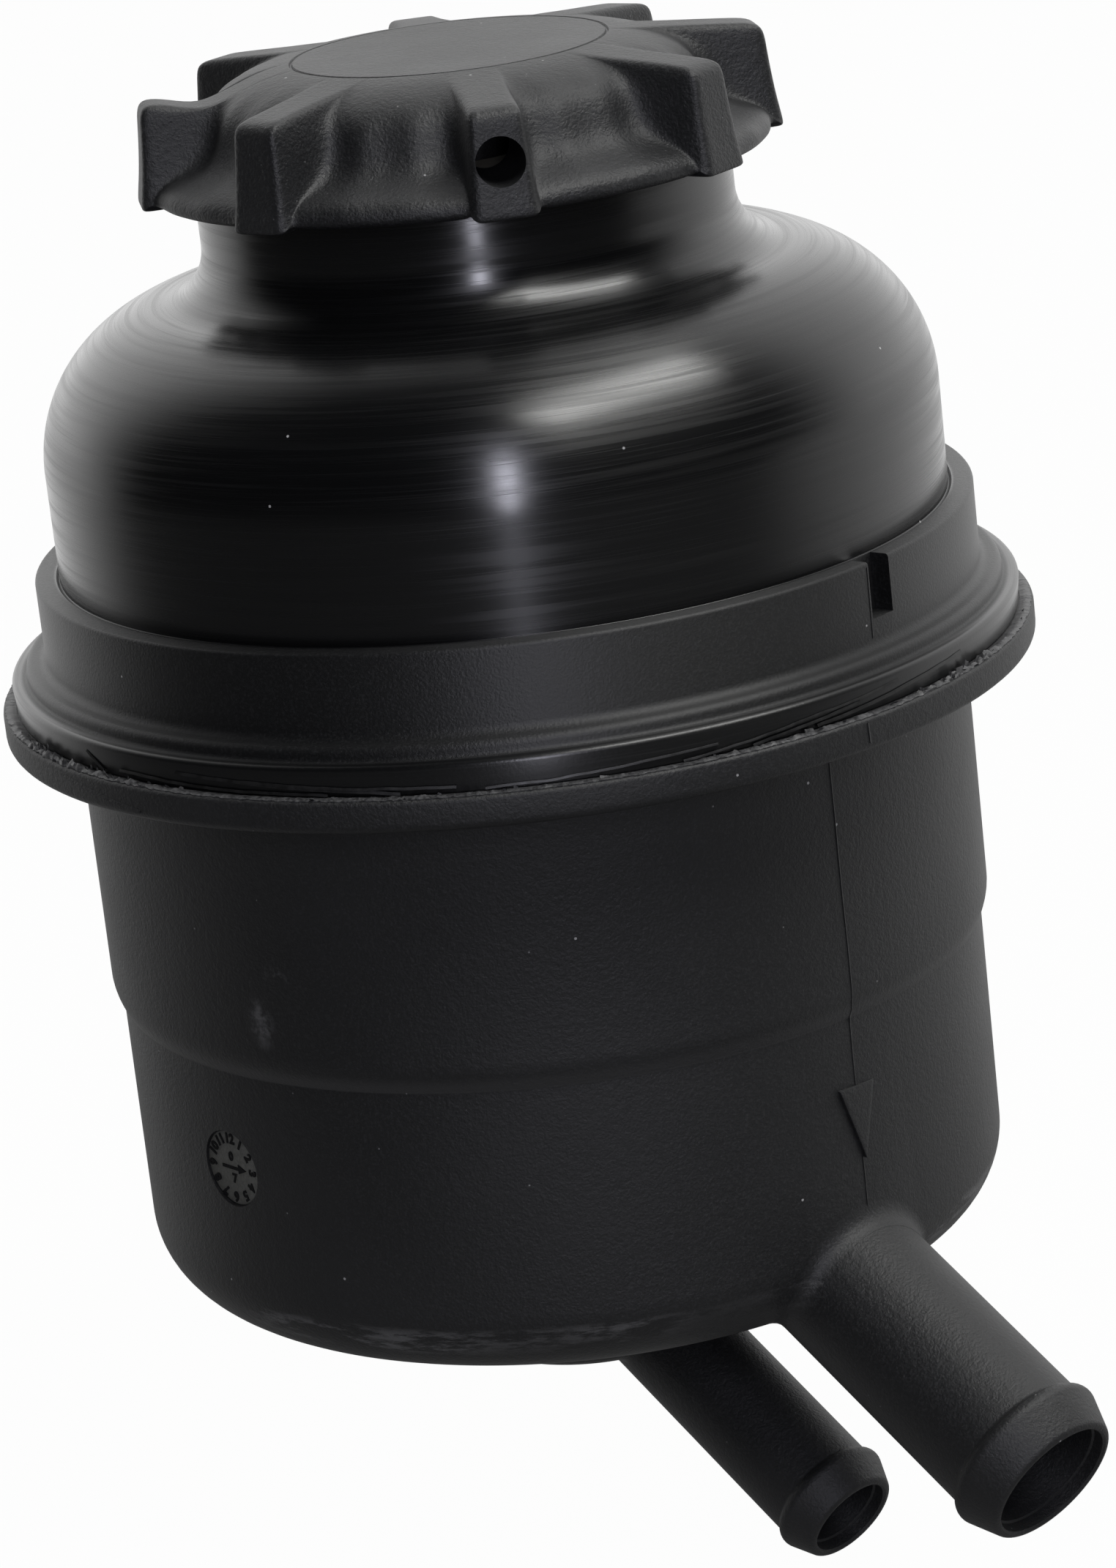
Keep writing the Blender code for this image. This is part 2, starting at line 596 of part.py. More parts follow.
def make_cap_body(material):
    recess_top_z = NECK_TOP_Z + 2 * SEAL_GAP + SEAL_THICKNESS
    recess_r = NECK_RADIUS + 2 * FIT
    edge_drop = CAP_TOP_Z - CAP_SHOULDER_Z
    edge_run = CAP_SHOULDER_RADIUS - CAP_FACE_RADIUS
    profile = [(0.0, CAP_PLUG_BOTTOM_Z), (CAP_PLUG_RADIUS - CAP_PLUG_CHAMFER, CAP_PLUG_BOTTOM_Z)]
    profile += [(CAP_PLUG_RADIUS, CAP_PLUG_BOTTOM_Z + CAP_PLUG_CHAMFER), (CAP_PLUG_RADIUS, recess_top_z)]
    profile += [(recess_r, recess_top_z), (recess_r, CAP_BOTTOM_Z)]
    profile += [(CAP_SKIRT_RADIUS, CAP_BOTTOM_Z), (CAP_SKIRT_RADIUS, CAP_BOTTOM_Z + CAP_SKIRT_LIP)]
    profile += [(CAP_SKIRT_TOP_RADIUS, CAP_SKIRT_TOP_Z)]
    for step in range(6):
        angle = math.radians(90.0 * step / 5)
        r = CAP_FACE_RADIUS + edge_run * math.cos(angle)
        z = CAP_SHOULDER_Z + edge_drop * math.sin(angle)
        profile.append((r, z))
    profile += [(0.0, CAP_TOP_Z)]
    cap = turned("cap_body", profile, closed=False, material=material)

    ridge_turns = THREAD_TURNS
    ridge = helix_bar(
        "cap_thread", CAP_PLUG_RADIUS, THREAD_CREST,
        lambda share: THREAD_START_Z + THREAD_PITCH * ridge_turns * share, ridge_turns, THREAD_START_AZIMUTH)
    combine(cap, ridge, "UNION")
    combine(cap, make_wings(), "UNION")

    inside_r = CAP_PLUG_RADIUS - CAP_PLUG_WALL
    roof_z = CAP_TOP_Z - CAP_ROOF
    socket_r = STICK_HEAD_RADIUS + FIT
    open_z = CAP_PLUG_BOTTOM_Z - 2.0 * MM
    hollow = [(0.0, open_z), (inside_r, open_z), (inside_r, roof_z), (CAP_SOCKET_RADIUS, roof_z)]
    hollow += [(CAP_SOCKET_RADIUS, CAP_SOCKET_BOTTOM_Z), (socket_r, CAP_SOCKET_BOTTOM_Z)]
    hollow += [(socket_r, CAP_SOCKET_BOTTOM_Z + STICK_HEAD_LENGTH), (0.0, CAP_SOCKET_BOTTOM_Z + STICK_HEAD_LENGTH)]
    combine(cap, turned("cap_hollow", hollow, closed=False), "DIFFERENCE")

    vent = round_bar("vent_hole", VENT_RADIUS, WING_FOOT_RADIUS - inside_r + 4.0 * MM)
    vent.location = radial(WING_FIRST_AZIMUTH, inside_r - 2.0 * MM, VENT_Z)
    vent.rotation_euler = (0.0, math.pi / 2, WING_FIRST_AZIMUTH)
    combine(cap, vent, "DIFFERENCE")
    return cap


def make_cap_seal(material):
    low_z = NECK_TOP_Z + SEAL_GAP
    high_z = low_z + SEAL_THICKNESS
    inner = CAP_PLUG_RADIUS + THREAD_CREST + 2 * FIT
    outer = NECK_RADIUS + FIT
    profile = [(inner, low_z), (outer, low_z), (outer, high_z), (inner, high_z)]
    return turned("cap_seal", profile, closed=True, material=material, steps=INNER_STEPS)


def splash_disc_top():
    return CAP_SOCKET_BOTTOM_Z - JOINED


def stick_collar_top():
    return splash_disc_top() - SPLASH_THICKNESS - JOINED


def make_splash_disc(material):
    high_z = splash_disc_top()
    low_z = high_z - SPLASH_THICKNESS
    inner = STICK_HEAD_RADIUS + FIT
    outer = CAP_PLUG_RADIUS - CAP_PLUG_WALL - FIT
    profile = [(inner, low_z), (outer, low_z), (outer, high_z), (inner, high_z)]
    disc = turned("splash_disc", profile, closed=True, material=material, steps=INNER_STEPS)
    notches = []
    for index in range(SPLASH_NOTCHES):
        notch = round_bar("splash_notch_%d" % index, SPLASH_NOTCH_RADIUS, SPLASH_THICKNESS + 2.0 * MM, 12)
        notch.location = radial((index + 0.5) * math.tau / SPLASH_NOTCHES, outer, low_z - 1.0 * MM)
        notches.append(notch)
    combine(disc, join("splash_notches", notches), "DIFFERENCE")
    return disc


def make_dipstick(material):
    collar_top = stick_collar_top()
    collar_low = collar_top - STICK_COLLAR_HEIGHT
    head_top = CAP_SOCKET_BOTTOM_Z + STICK_HEAD_LENGTH - JOINED
    profile = [(0.0, collar_low), (STICK_COLLAR_RADIUS, collar_low), (STICK_COLLAR_RADIUS, collar_top)]
    profile += [(STICK_HEAD_RADIUS, collar_top), (STICK_HEAD_RADIUS, head_top), (0.0, head_top)]
    stick = turned("dipstick", profile, closed=False, material=material, steps=SMALL_STEPS)
    blade = block(
        "stick_blade", (-STICK_WIDTH / 2, -STICK_THICKNESS / 2, STICK_END_Z),
        (STICK_WIDTH / 2, STICK_THICKNESS / 2, collar_low + 0.5 * MM))
    combine(stick, blade, "UNION")
    for mark_z in STICK_MARKS_Z:
        mark = block(
            "stick_mark_%d" % round(mark_z / MM), (-STICK_MARK_WIDTH / 2, -STICK_THICKNESS, mark_z),
            (STICK_MARK_WIDTH / 2, STICK_THICKNESS, mark_z + STICK_MARK_HEIGHT))
        combine(stick, mark, "UNION")
    return stick


def make_baffle_plate(material):
    high_z = RIM_HEIGHT - JOINED
    low_z = high_z - PLATE_THICKNESS
    outer = PLATE_REBATE_RADIUS - FIT
    profile = [(PLATE_HOLE_RADIUS, low_z), (SPIGOT_INNER_RADIUS, low_z), (SPIGOT_INNER_RADIUS, low_z - SPIGOT_HEIGHT)]
    profile += [(SPIGOT_OUTER_RADIUS, low_z - SPIGOT_HEIGHT), (SPIGOT_OUTER_RADIUS, low_z), (outer, low_z)]
    profile += [(outer, high_z), (PLATE_HOLE_RADIUS, high_z)]
    plate = turned("baffle_plate", profile, closed=True, material=material, steps=INNER_STEPS)
    ports = []
    for index in range(PLATE_PORTS):
        port = round_bar("plate_port_%d" % index, PLATE_PORT_RADIUS, PLATE_THICKNESS + 2.0 * MM, 16)
        port.location = radial(index * math.tau / PLATE_PORTS, PLATE_PORT_CIRCLE, low_z - 1.0 * MM)
        ports.append(port)
    combine(plate, join("plate_ports", ports), "DIFFERENCE")
    return plate


def riser_seat_z():
    return CUP_BOTTOM_Z + WALL + RISER_BASE_HEIGHT


def filter_floor_z():
    """Top face of the element's bottom disc."""
    return riser_seat_z() + FIT + GROMMET_FLANGE + JOINED + FILTER_DISC


def make_filter_grommet(material):
    low_z = riser_seat_z() + FIT
    groove_low = low_z + GROMMET_FLANGE
    groove_high = groove_low + FILTER_DISC + 2 * JOINED
    high_z = groove_high + GROMMET_FLANGE
    inner = RISER_RADIUS + FIT
    profile = [(inner, low_z), (GROMMET_FLANGE_RADIUS, low_z), (GROMMET_FLANGE_RADIUS, groove_low)]
    profile += [(GROMMET_NECK_RADIUS, groove_low), (GROMMET_NECK_RADIUS, groove_high)]
    profile += [(GROMMET_FLANGE_RADIUS, groove_high), (GROMMET_FLANGE_RADIUS, high_z), (inner, high_z)]
    return turned("filter_grommet", profile, closed=True, material=material, steps=SMALL_STEPS)


def make_filter_bottom_disc(material):
    high_z = filter_floor_z()
    low_z = high_z - FILTER_DISC
    hole = GROMMET_NECK_RADIUS + JOINED
    lip_r = FILTER_RADIUS - FILTER_LIP
    lip_z = high_z + FILTER_LIP_HEIGHT
    profile = [(hole, low_z), (FILTER_RADIUS, low_z), (FILTER_RADIUS, lip_z), (lip_r, lip_z), (lip_r, high_z)]
    profile += [(hole, high_z)]
    return turned("filter_bottom_disc", profile, closed=True, material=material, steps=INNER_STEPS)


def make_filter_top_disc(material):
    low_z = FILTER_TOP_Z - FILTER_DISC
    lip_r = FILTER_RADIUS - FILTER_LIP
    lip_z = low_z - FILTER_LIP_HEIGHT
    spigot_z = FILTER_TOP_Z + SPIGOT_HEIGHT
    profile = [(0.0, low_z), (lip_r, low_z), (lip_r, lip_z), (FILTER_RADIUS, lip_z), (FILTER_RADIUS, FILTER_TOP_Z)]
    profile += [(SPIGOT_OUTER_RADIUS, FILTER_TOP_Z), (SPIGOT_OUTER_RADIUS, spigot_z)]
    profile += [(SPIGOT_INNER_RADIUS, spigot_z), (SPIGOT_INNER_RADIUS, FILTER_TOP_Z), (0.0, FILTER_TOP_Z)]
    return turned("filter_top_disc", profile, closed=False, material=material, steps=INNER_STEPS)


def make_filter_core_tube(material):
    low_z = filter_floor_z() + JOINED
    high_z = FILTER_TOP_Z - FILTER_DISC - JOINED
    inner = CORE_RADIUS - CORE_WALL
    profile = [(inner, low_z), (CORE_RADIUS, low_z), (CORE_RADIUS, high_z), (inner, high_z)]
    tube = turned("filter_core_tube", profile, closed=True, material=material, steps=SMALL_STEPS)
    pitch = (high_z - low_z) / CORE_WINDOW_ROWS
    windows = []
    for row in range(CORE_WINDOW_ROWS):
        middle_z = low_z + (row + 0.5) * pitch
        for index in range(CORE_WINDOWS_ROUND):
            window = block(
                "core_window_%d_%d" % (row, index),
                (inner - 2.0 * MM, -CORE_WINDOW_WIDTH / 2, middle_z - CORE_WINDOW_HEIGHT / 2),
                (CORE_RADIUS + 2.0 * MM, CORE_WINDOW_WIDTH / 2, middle_z + CORE_WINDOW_HEIGHT / 2))
            window.rotation_euler = (0.0, 0.0, (index + 0.5) * math.tau / CORE_WINDOWS_ROUND)
            windows.append(window)
    combine(tube, join("core_windows", windows), "DIFFERENCE")
    return tube


def make_filter_pleats(material):
    """Pleated paper: two zigzag outlines as a flat curve, extruded to its height."""
    low_z = filter_floor_z() + JOINED
    high_z = FILTER_TOP_Z - FILTER_DISC - JOINED
    outer_tip = FILTER_RADIUS - FILTER_LIP - FIT
    curve = bpy.data.curves.new("filter_pleats", "CURVE")
    curve.dimensions = "2D"
    curve.fill_mode = "BOTH"
    curve.extrude = (high_z - low_z) / 2
    # The fold's flanks are steep, so the paper's thickness shows as a larger step along the radius
    flank = outer_tip - PLEAT_INNER_RADIUS
    half_turn = math.pi / PLEAT_COUNT
    mean_width = half_turn * (outer_tip + PLEAT_INNER_RADIUS) / 2
    tip_step = PLEAT_PAPER * math.hypot(flank, mean_width) / mean_width
    outlines = (
        (outer_tip, PLEAT_INNER_RADIUS + tip_step / 2),
        (outer_tip - tip_step / 2, PLEAT_INNER_RADIUS),
    )
    for tip_r, root_r in outlines:
        spline = curve.splines.new("POLY")
        spline.points.add(2 * PLEAT_COUNT - 1)
        spline.use_cyclic_u = True
        for index, point in enumerate(spline.points):
            r = tip_r if index % 2 == 0 else root_r
            angle = index * half_turn
            point.co = (r * math.cos(angle), r * math.sin(angle), 0.0, 1.0)
    item = bpy.data.objects.new("filter_pleats", curve)
    bpy.context.collection.objects.link(item)
    curve.materials.append(material)
    item.location = (0.0, 0.0, (low_z + high_z) / 2)
    return item


def make_filter_spring(material):
    low_z = FILTER_TOP_Z + FIT + SPRING_WIRE_RADIUS
    high_z = RIM_HEIGHT - JOINED - PLATE_THICKNESS - FIT - SPRING_WIRE_RADIUS
    closed_rise = SPRING_END_TURNS * 0.2 * SPRING_WIRE_RADIUS
    end_share = SPRING_END_TURNS / (SPRING_TURNS + 2 * SPRING_END_TURNS)

    def height(share):
        if share < end_share:
            return low_z + closed_rise * share / end_share
        if share > 1.0 - end_share:
            return high_z - closed_rise * (1.0 - share) / end_share
        middle = (share - end_share) / (1.0 - 2 * end_share)
        return low_z + closed_rise + (high_z - low_z - 2 * closed_rise) * middle

    spring = helix_bar(
        "filter_spring", SPIGOT_OUTER_RADIUS + FIT + SPRING_WIRE_RADIUS, SPRING_WIRE_RADIUS, height,
        SPRING_TURNS + 2 * SPRING_END_TURNS, steps=SPRING_STEPS)
    spring.data.materials.append(material)
    return spring


def main():
    clear_scene()
    nylon = make_material("black_nylon", (0.018, 0.019, 0.020), 0.62)
    gloss_nylon = make_material("black_gloss_nylon", (0.012, 0.012, 0.013), 0.28)
    cap_nylon = make_material("cap_nylon", (0.022, 0.022, 0.026), 0.55)
    rubber = make_material("black_rubber", (0.02, 0.02, 0.02), 0.8)
    white_nylon = make_material("natural_nylon", (0.72, 0.70, 0.62), 0.5)
    stick_nylon = make_material("stick_nylon", (0.03, 0.03, 0.03), 0.5)
    zinc_steel = make_material("zinc_steel", (0.62, 0.62, 0.60), 0.35, 1.0)
    spring_steel = make_material("spring_steel", (0.45, 0.45, 0.46), 0.3, 1.0)
    paper = make_material("filter_paper", (0.62, 0.50, 0.30), 0.9)

    bores = make_bores()
    make_lower_cup(nylon, bores)
    make_riser_boss(nylon, bores[1])
    make_nipples(nylon, bores)
    make_upper_shell(gloss_nylon)
    make_baffle_plate(white_nylon)
    make_filter_grommet(rubber)
    make_filter_bottom_disc(zinc_steel)
    make_filter_top_disc(zinc_steel)
    make_filter_core_tube(white_nylon)
    make_filter_pleats(paper)
    make_filter_spring(spring_steel)
    make_cap_seal(rubber)
    make_cap_body(cap_nylon)
    make_splash_disc(white_nylon)
    make_dipstick(stick_nylon)


main()
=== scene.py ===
# %% [markdown]
# # A power steering reservoir, dressed for its picture
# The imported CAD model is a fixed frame: it says where every piece is and what moves. This notebook builds
# finer pieces round it, with the finishes of moulded nylon, and lights them as a plain studio would.
# The three pieces that show most, the cup, the shell and the cap, are built again with more points. What lies
# hidden inside the vessel keeps its CAD mesh and only gets a better finish. The filter's spring is the one
# exception, because it has to be pressed together as the filter moves.

# %% Load the frame
import math
import random

import bmesh
import bpy
from mathutils import Matrix, Vector, noise


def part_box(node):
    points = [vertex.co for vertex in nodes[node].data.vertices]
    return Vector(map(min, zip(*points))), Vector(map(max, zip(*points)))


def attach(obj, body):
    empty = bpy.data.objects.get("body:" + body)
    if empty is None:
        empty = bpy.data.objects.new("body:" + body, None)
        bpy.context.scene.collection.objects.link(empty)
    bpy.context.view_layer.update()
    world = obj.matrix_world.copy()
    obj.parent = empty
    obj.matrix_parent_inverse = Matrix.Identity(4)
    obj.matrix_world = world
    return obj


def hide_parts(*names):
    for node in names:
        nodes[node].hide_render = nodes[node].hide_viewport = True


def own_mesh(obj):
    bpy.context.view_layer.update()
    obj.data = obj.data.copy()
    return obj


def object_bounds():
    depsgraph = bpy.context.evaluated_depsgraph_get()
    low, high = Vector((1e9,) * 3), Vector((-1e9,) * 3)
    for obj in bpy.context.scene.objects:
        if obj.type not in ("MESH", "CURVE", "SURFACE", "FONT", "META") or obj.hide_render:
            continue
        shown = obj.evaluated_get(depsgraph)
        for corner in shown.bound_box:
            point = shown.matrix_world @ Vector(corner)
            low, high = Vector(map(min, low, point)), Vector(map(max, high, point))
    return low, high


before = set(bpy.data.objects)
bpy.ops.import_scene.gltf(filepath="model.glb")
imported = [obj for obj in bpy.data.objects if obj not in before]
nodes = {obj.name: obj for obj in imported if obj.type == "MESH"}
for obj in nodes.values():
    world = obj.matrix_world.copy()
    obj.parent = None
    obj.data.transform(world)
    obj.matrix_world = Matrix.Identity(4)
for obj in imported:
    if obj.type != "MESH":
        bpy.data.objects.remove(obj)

cad_low, cad_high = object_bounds()
print("CAD box, mm:", [round(1000 * (high - low), 1) for low, high in zip(cad_low, cad_high)])

# %% [markdown]
# ## Driving sizes
# Whatever the frame can say is read from it: a node's box gives its outer radius and its top. The other
# sizes are the maker's own, in millimetres times MM, so that a piece built here fills its CAD solid exactly.

# %% Sizes read from the frame
MM = 0.001
_, cup_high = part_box("lower_cup")
shell_low, shell_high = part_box("upper_shell")
cap_low, cap_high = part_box("cap_body")
RIM_RADIUS = cup_high.y
RIM_HEIGHT = cup_high.z
WELD_Z = shell_low.z
DISC_RADIUS = shell_high.y
NECK_TOP_Z = shell_high.z
CAP_TOP_Z = cap_high.z
CAP_PLUG_BOTTOM_Z = cap_low.z
print("rim radius %.1f mm, neck top %.1f mm, cap top %.1f mm" % (
    RIM_RADIUS / MM, NECK_TOP_Z / MM, CAP_TOP_Z / MM))

# %% Sizes of the cup
WALL = 2.5 * MM
CUP_UPPER_RADIUS = 45.4 * MM
CUP_LOWER_RADIUS = 44.5 * MM
CUP_BOTTOM_Z = -60.0 * MM
CUP_CORNER_RADIUS = 8.0 * MM
CUP_STEP_TOP_Z = -25.6 * MM
CUP_STEP_HEIGHT = 3.2 * MM
STEP_CORNER_LENGTH = 0.1 * MM
RIM_ROOT_ROUND = 0.5 * MM
RIM_EDGE_RADIUS = 1.0 * MM
RIM_TOP_ROUND = 0.45 * MM
BOSS_RADIUS = 15.0 * MM
BOSS_BOTTOM_Z = -71.3 * MM
BOSS_EDGE_RADIUS = 3.0 * MM
BOSS_ROOT_RADIUS = 2.0 * MM
BOSS_FLOOR = 4.5 * MM
RISER_RADIUS = 7.0 * MM
RISER_BORE_RADIUS = 4.2 * MM
RISER_TOP_Z = -38.0 * MM
RISER_CHAMFER = 1.0 * MM
RISER_BASE_RADIUS = 10.0 * MM
RISER_BASE_HEIGHT = 6.0 * MM
PLATE_REBATE_RADIUS = CUP_UPPER_RADIUS + 0.2 * MM
PLATE_LEDGE_DEPTH = 1.7 * MM
HOLLOW_OVERRUN = 3.0 * MM

# %% Sizes of the nipples
NIPPLE_AZIMUTH = math.radians(-51.6)
NIPPLE_TILT = math.radians(29.0)
NIPPLE_SINK = 1.0 * MM
BORE_OVERRUN = 5.0 * MM
BEAD_ROOT_ROUND = 0.5 * MM
BEAD_CREST_ROUND = 1.15 * MM
BEAD_FACE_ROUND = 0.7 * MM
BEAD_CONE_SHARE = 0.62
MOUTH_CHAMFER = 0.225 * MM
MOUTH_WIDENING = 0.22 * MM
MOUTH_DEPTH = 1.4 * MM
MOUTH_STEP = 0.15 * MM
MOUTH_OVERRUN = 1.0 * MM
SUCTION_OUT = 67.85 * MM
SUCTION_Z = -71.8 * MM
SUCTION_RADIUS = 8.0 * MM
SUCTION_BORE_RADIUS = 6.3 * MM
SUCTION_BEAD_RADIUS = 8.75 * MM
SUCTION_BEAD_LENGTH = 5.2 * MM
SUCTION_FACE_RADIUS = 7.5 * MM
RETURN_OUT = 37.8 * MM
RETURN_CROSSING_Z = -63.2 * MM
RETURN_RADIUS = 5.9 * MM
RETURN_BORE_RADIUS = 4.15 * MM
RETURN_BEAD_RADIUS = 6.45 * MM
RETURN_BEAD_LENGTH = 4.4 * MM
RETURN_FACE_RADIUS = 5.4 * MM

# %% Sizes of the shell
DISC_THICKNESS = 2.95 * MM
STEP_RADIUS = 49.7 * MM
STEP_HEIGHT = 1.4 * MM
BAND_RADIUS = 47.6 * MM
BAND_TOP_Z = 16.25 * MM
DOME_RADIUS = 45.1 * MM
DISC_LIP = 0.25 * MM
DISC_ROUND = 0.5 * MM
STEP_ROOT_ROUND = 0.35 * MM
STEP_ROUND = 0.7 * MM
BAND_ROOT_ROUND = 0.9 * MM
BAND_ROUND = 0.35 * MM
SHOULDER_RADIUS = 15.5 * MM
SHOULDER_CENTRE_Z = 27.0 * MM
NECK_RADIUS = 26.7 * MM
NECK_ROOT_RADIUS = 5.5 * MM
NECK_EDGE = 0.5 * MM
NECK_BORE_RADIUS = 23.4 * MM
NECK_INNER_EDGE_RADIUS = 3.0 * MM
SLOT_AZIMUTH = math.radians(-42.4)
SLOT_WIDTH = 3.2 * MM
SLOT_DEPTH = 2.2 * MM
SLOT_BOTTOM_Z = 10.6 * MM
SLOT_OVERRUN = 2.0 * MM
CAP_PLUG_RADIUS = NECK_BORE_RADIUS - 0.4 * MM
THREAD_PITCH = 4.0 * MM
THREAD_CREST = 0.9 * MM
THREAD_CLEARANCE = 0.35 * MM
THREAD_TURNS = 1.5
THREAD_START_Z = 46.0 * MM
THREAD_START_AZIMUTH = math.radians(37.3)
GROOVE_LEAD_TURNS = 0.06
GROOVE_OVERRUN = 2.0 * MM
# The fine groove between band and dome: (out from the dome's wall, up from the band's top)
DOME_GROOVE = [(0.35 * MM, 0.0), (0.15 * MM, -0.25 * MM), (0.0, -0.05 * MM)]

# %% [markdown]
# ## Tools for turned shapes
# Nearly everything here was turned in a mould, so the main tool carries an outline round the axis. A Screw
# modifier would do that too. Rows of points joined by hand are used instead, because the cap's rows aren't
# circles, and one way of skinning rows then serves both.

# %% Skin rows of points
def skin(shape, rows, closed=False):
    """Join neighbouring rows of points with faces. A row of one point is a pole."""
    pairs = list(zip(rows, rows[1:]))
    if closed:
        pairs.append((rows[-1], rows[0]))
    faces = []
    for first, second in pairs:
        count = max(len(first), len(second))
        for index in range(count):
            after = (index + 1) % count
            corners = [first[index % len(first)], first[after % len(first)]]
            corners += [second[after % len(second)], second[index % len(second)]]
            unique = list(dict.fromkeys(corners))
            faces.append(shape.faces.new(unique))
    return faces


def new_piece(name, shape):
    """Put a bmesh into the scene as an object, with its faces looking outward."""
    bmesh.ops.recalc_face_normals(shape, faces=shape.faces)
    mesh = bpy.data.meshes.new(name)
    shape.to_mesh(mesh)
    shape.free()
    piece = bpy.data.objects.new(name, mesh)
    bpy.context.scene.collection.objects.link(piece)
    return piece


def spun(name, outline, steps, closed=False):
    """Carry an outline of (r, z) points round Z. It is a ring, or starts and ends on the axis."""
    shape = bmesh.new()
    rows = []
    for r, z in outline:
        if r == 0.0:
            rows.append([shape.verts.new((0.0, 0.0, z))])
            continue
        turn = [math.tau * index / steps for index in range(steps)]
        rows.append([shape.verts.new((r * math.cos(a), r * math.sin(a), z)) for a in turn])
    skin(shape, rows, closed)
    return new_piece(name, shape)


# %% Outline helpers
def arc(centre_r, centre_z, radius, start_deg, end_deg, steps):
    """Points of an arc in the (r, z) plane, both ends included."""
    points = []
    for step in range(steps + 1):
        angle = math.radians(start_deg + (end_deg - start_deg) * step / steps)
        points.append((centre_r + radius * math.cos(angle), centre_z + radius * math.sin(angle)))
    return points


def soft_step(low, high, steps):
    """An S-shaped run from one (r, z) point to another."""
    points = []
    for step in range(steps + 1):
        share = step / steps
        eased = 0.5 - 0.5 * math.cos(math.pi * share)
        points.append((low[0] + (high[0] - low[0]) * eased, low[1] + (high[1] - low[1]) * share))
    return points


def mix(low, high, share):
    return low + (high - low) * share


def clamped(share):
    return min(max(share, 0.0), 1.0)


def radial(azimuth, out, z):
    return Vector((out * math.cos(azimuth), out * math.sin(azimuth), z))


# %% Cutting and joining
def combine(piece, tool, operation):
    """Plan a cut or a union. The tool stays until settle() works everything out."""
    modifier = piece.modifiers.new(operation.title(), "BOOLEAN")
    modifier.operation = operation
    modifier.object = tool
    modifier.solver = "EXACT"


def settle(piece):
    """Turn a piece's modifiers into its mesh and throw the tools away."""
    tools = [modifier.object for modifier in piece.modifiers if modifier.type == "BOOLEAN"]
    shown = piece.evaluated_get(bpy.context.evaluated_depsgraph_get())
    worked = bpy.data.meshes.new_from_object(shown)
    piece.modifiers.clear()
    piece.data = worked
    for tool in tools:
        bpy.data.objects.remove(tool, do_unlink=True)
    return piece


def smooth(piece, edge_deg=34.0):
    """Shade softly, with a crisp line wherever the surface turns more sharply than edge_deg."""
    piece.data.shade_smooth()
    piece.data.set_sharp_from_angle(angle=math.radians(edge_deg))
    print(piece.name, "has", len(piece.data.polygons), "faces")
    return piece


# %% [markdown]
# ## The cup's turned body
# The real cup is one moulding: a round wall with a shallow step, a rounded bottom edge, a flat rim that was
# friction welded to the shell, and a boss under the floor that carries the nipples. The outer form and the
# hollow are two turned solids, and the second is cut from the first, so the wall is even where it should be.

# %% The cup's outer form
CUP_TURN = 176
STEP_POINTS = 12
cup_step_low_z = CUP_STEP_TOP_Z - CUP_STEP_HEIGHT
cup_corner_r = CUP_LOWER_RADIUS - CUP_CORNER_RADIUS
cup_corner_z = CUP_BOTTOM_Z + CUP_CORNER_RADIUS
cup_floor_z = CUP_BOTTOM_Z + WALL


def cup_wall_radius(z):
    """Down the step the wall bends in softly, and it meets the lower wall in a sharp corner."""
    share = clamped((z - cup_step_low_z) / CUP_STEP_HEIGHT)
    return mix(CUP_LOWER_RADIUS, CUP_UPPER_RADIUS, 1.0 - (1.0 - share) ** 2)


def cup_outline():
    boss_edge_z = BOSS_BOTTOM_Z + BOSS_EDGE_RADIUS
    boss_root_z = CUP_BOTTOM_Z - BOSS_ROOT_RADIUS
    rim_top_z = RIM_HEIGHT - RIM_TOP_ROUND
    points = [(0.0, BOSS_BOTTOM_Z)]
    points += arc(BOSS_RADIUS - BOSS_EDGE_RADIUS, boss_edge_z, BOSS_EDGE_RADIUS, -90, 0, 6)
    points += arc(BOSS_RADIUS + BOSS_ROOT_RADIUS, boss_root_z, BOSS_ROOT_RADIUS, 180, 90, 5)
    points += arc(cup_corner_r, cup_corner_z, CUP_CORNER_RADIUS, -90, 0, 16)
    # A point close below the corner keeps its shading crisp
    points += [(CUP_LOWER_RADIUS, cup_step_low_z - STEP_CORNER_LENGTH)]
    for step in range(STEP_POINTS + 1):
        z = mix(cup_step_low_z, CUP_STEP_TOP_Z, step / STEP_POINTS)
        points.append((cup_wall_radius(z), z))
    points += arc(CUP_UPPER_RADIUS + RIM_ROOT_ROUND, -RIM_ROOT_ROUND, RIM_ROOT_ROUND, 180, 90, 3)
    points += arc(RIM_RADIUS - RIM_EDGE_RADIUS, RIM_EDGE_RADIUS, RIM_EDGE_RADIUS, -90, 0, 6)
    points += arc(RIM_RADIUS - RIM_TOP_ROUND, rim_top_z, RIM_TOP_ROUND, 0, 90, 4)
    points += [(0.0, RIM_HEIGHT)]
    return points


cup = spun("cup_moulding", cup_outline(), CUP_TURN)
print("the cup's outline has", len(cup_outline()), "points")

# %% The cup's hollow, round the riser
HOLLOW_TURN = 96


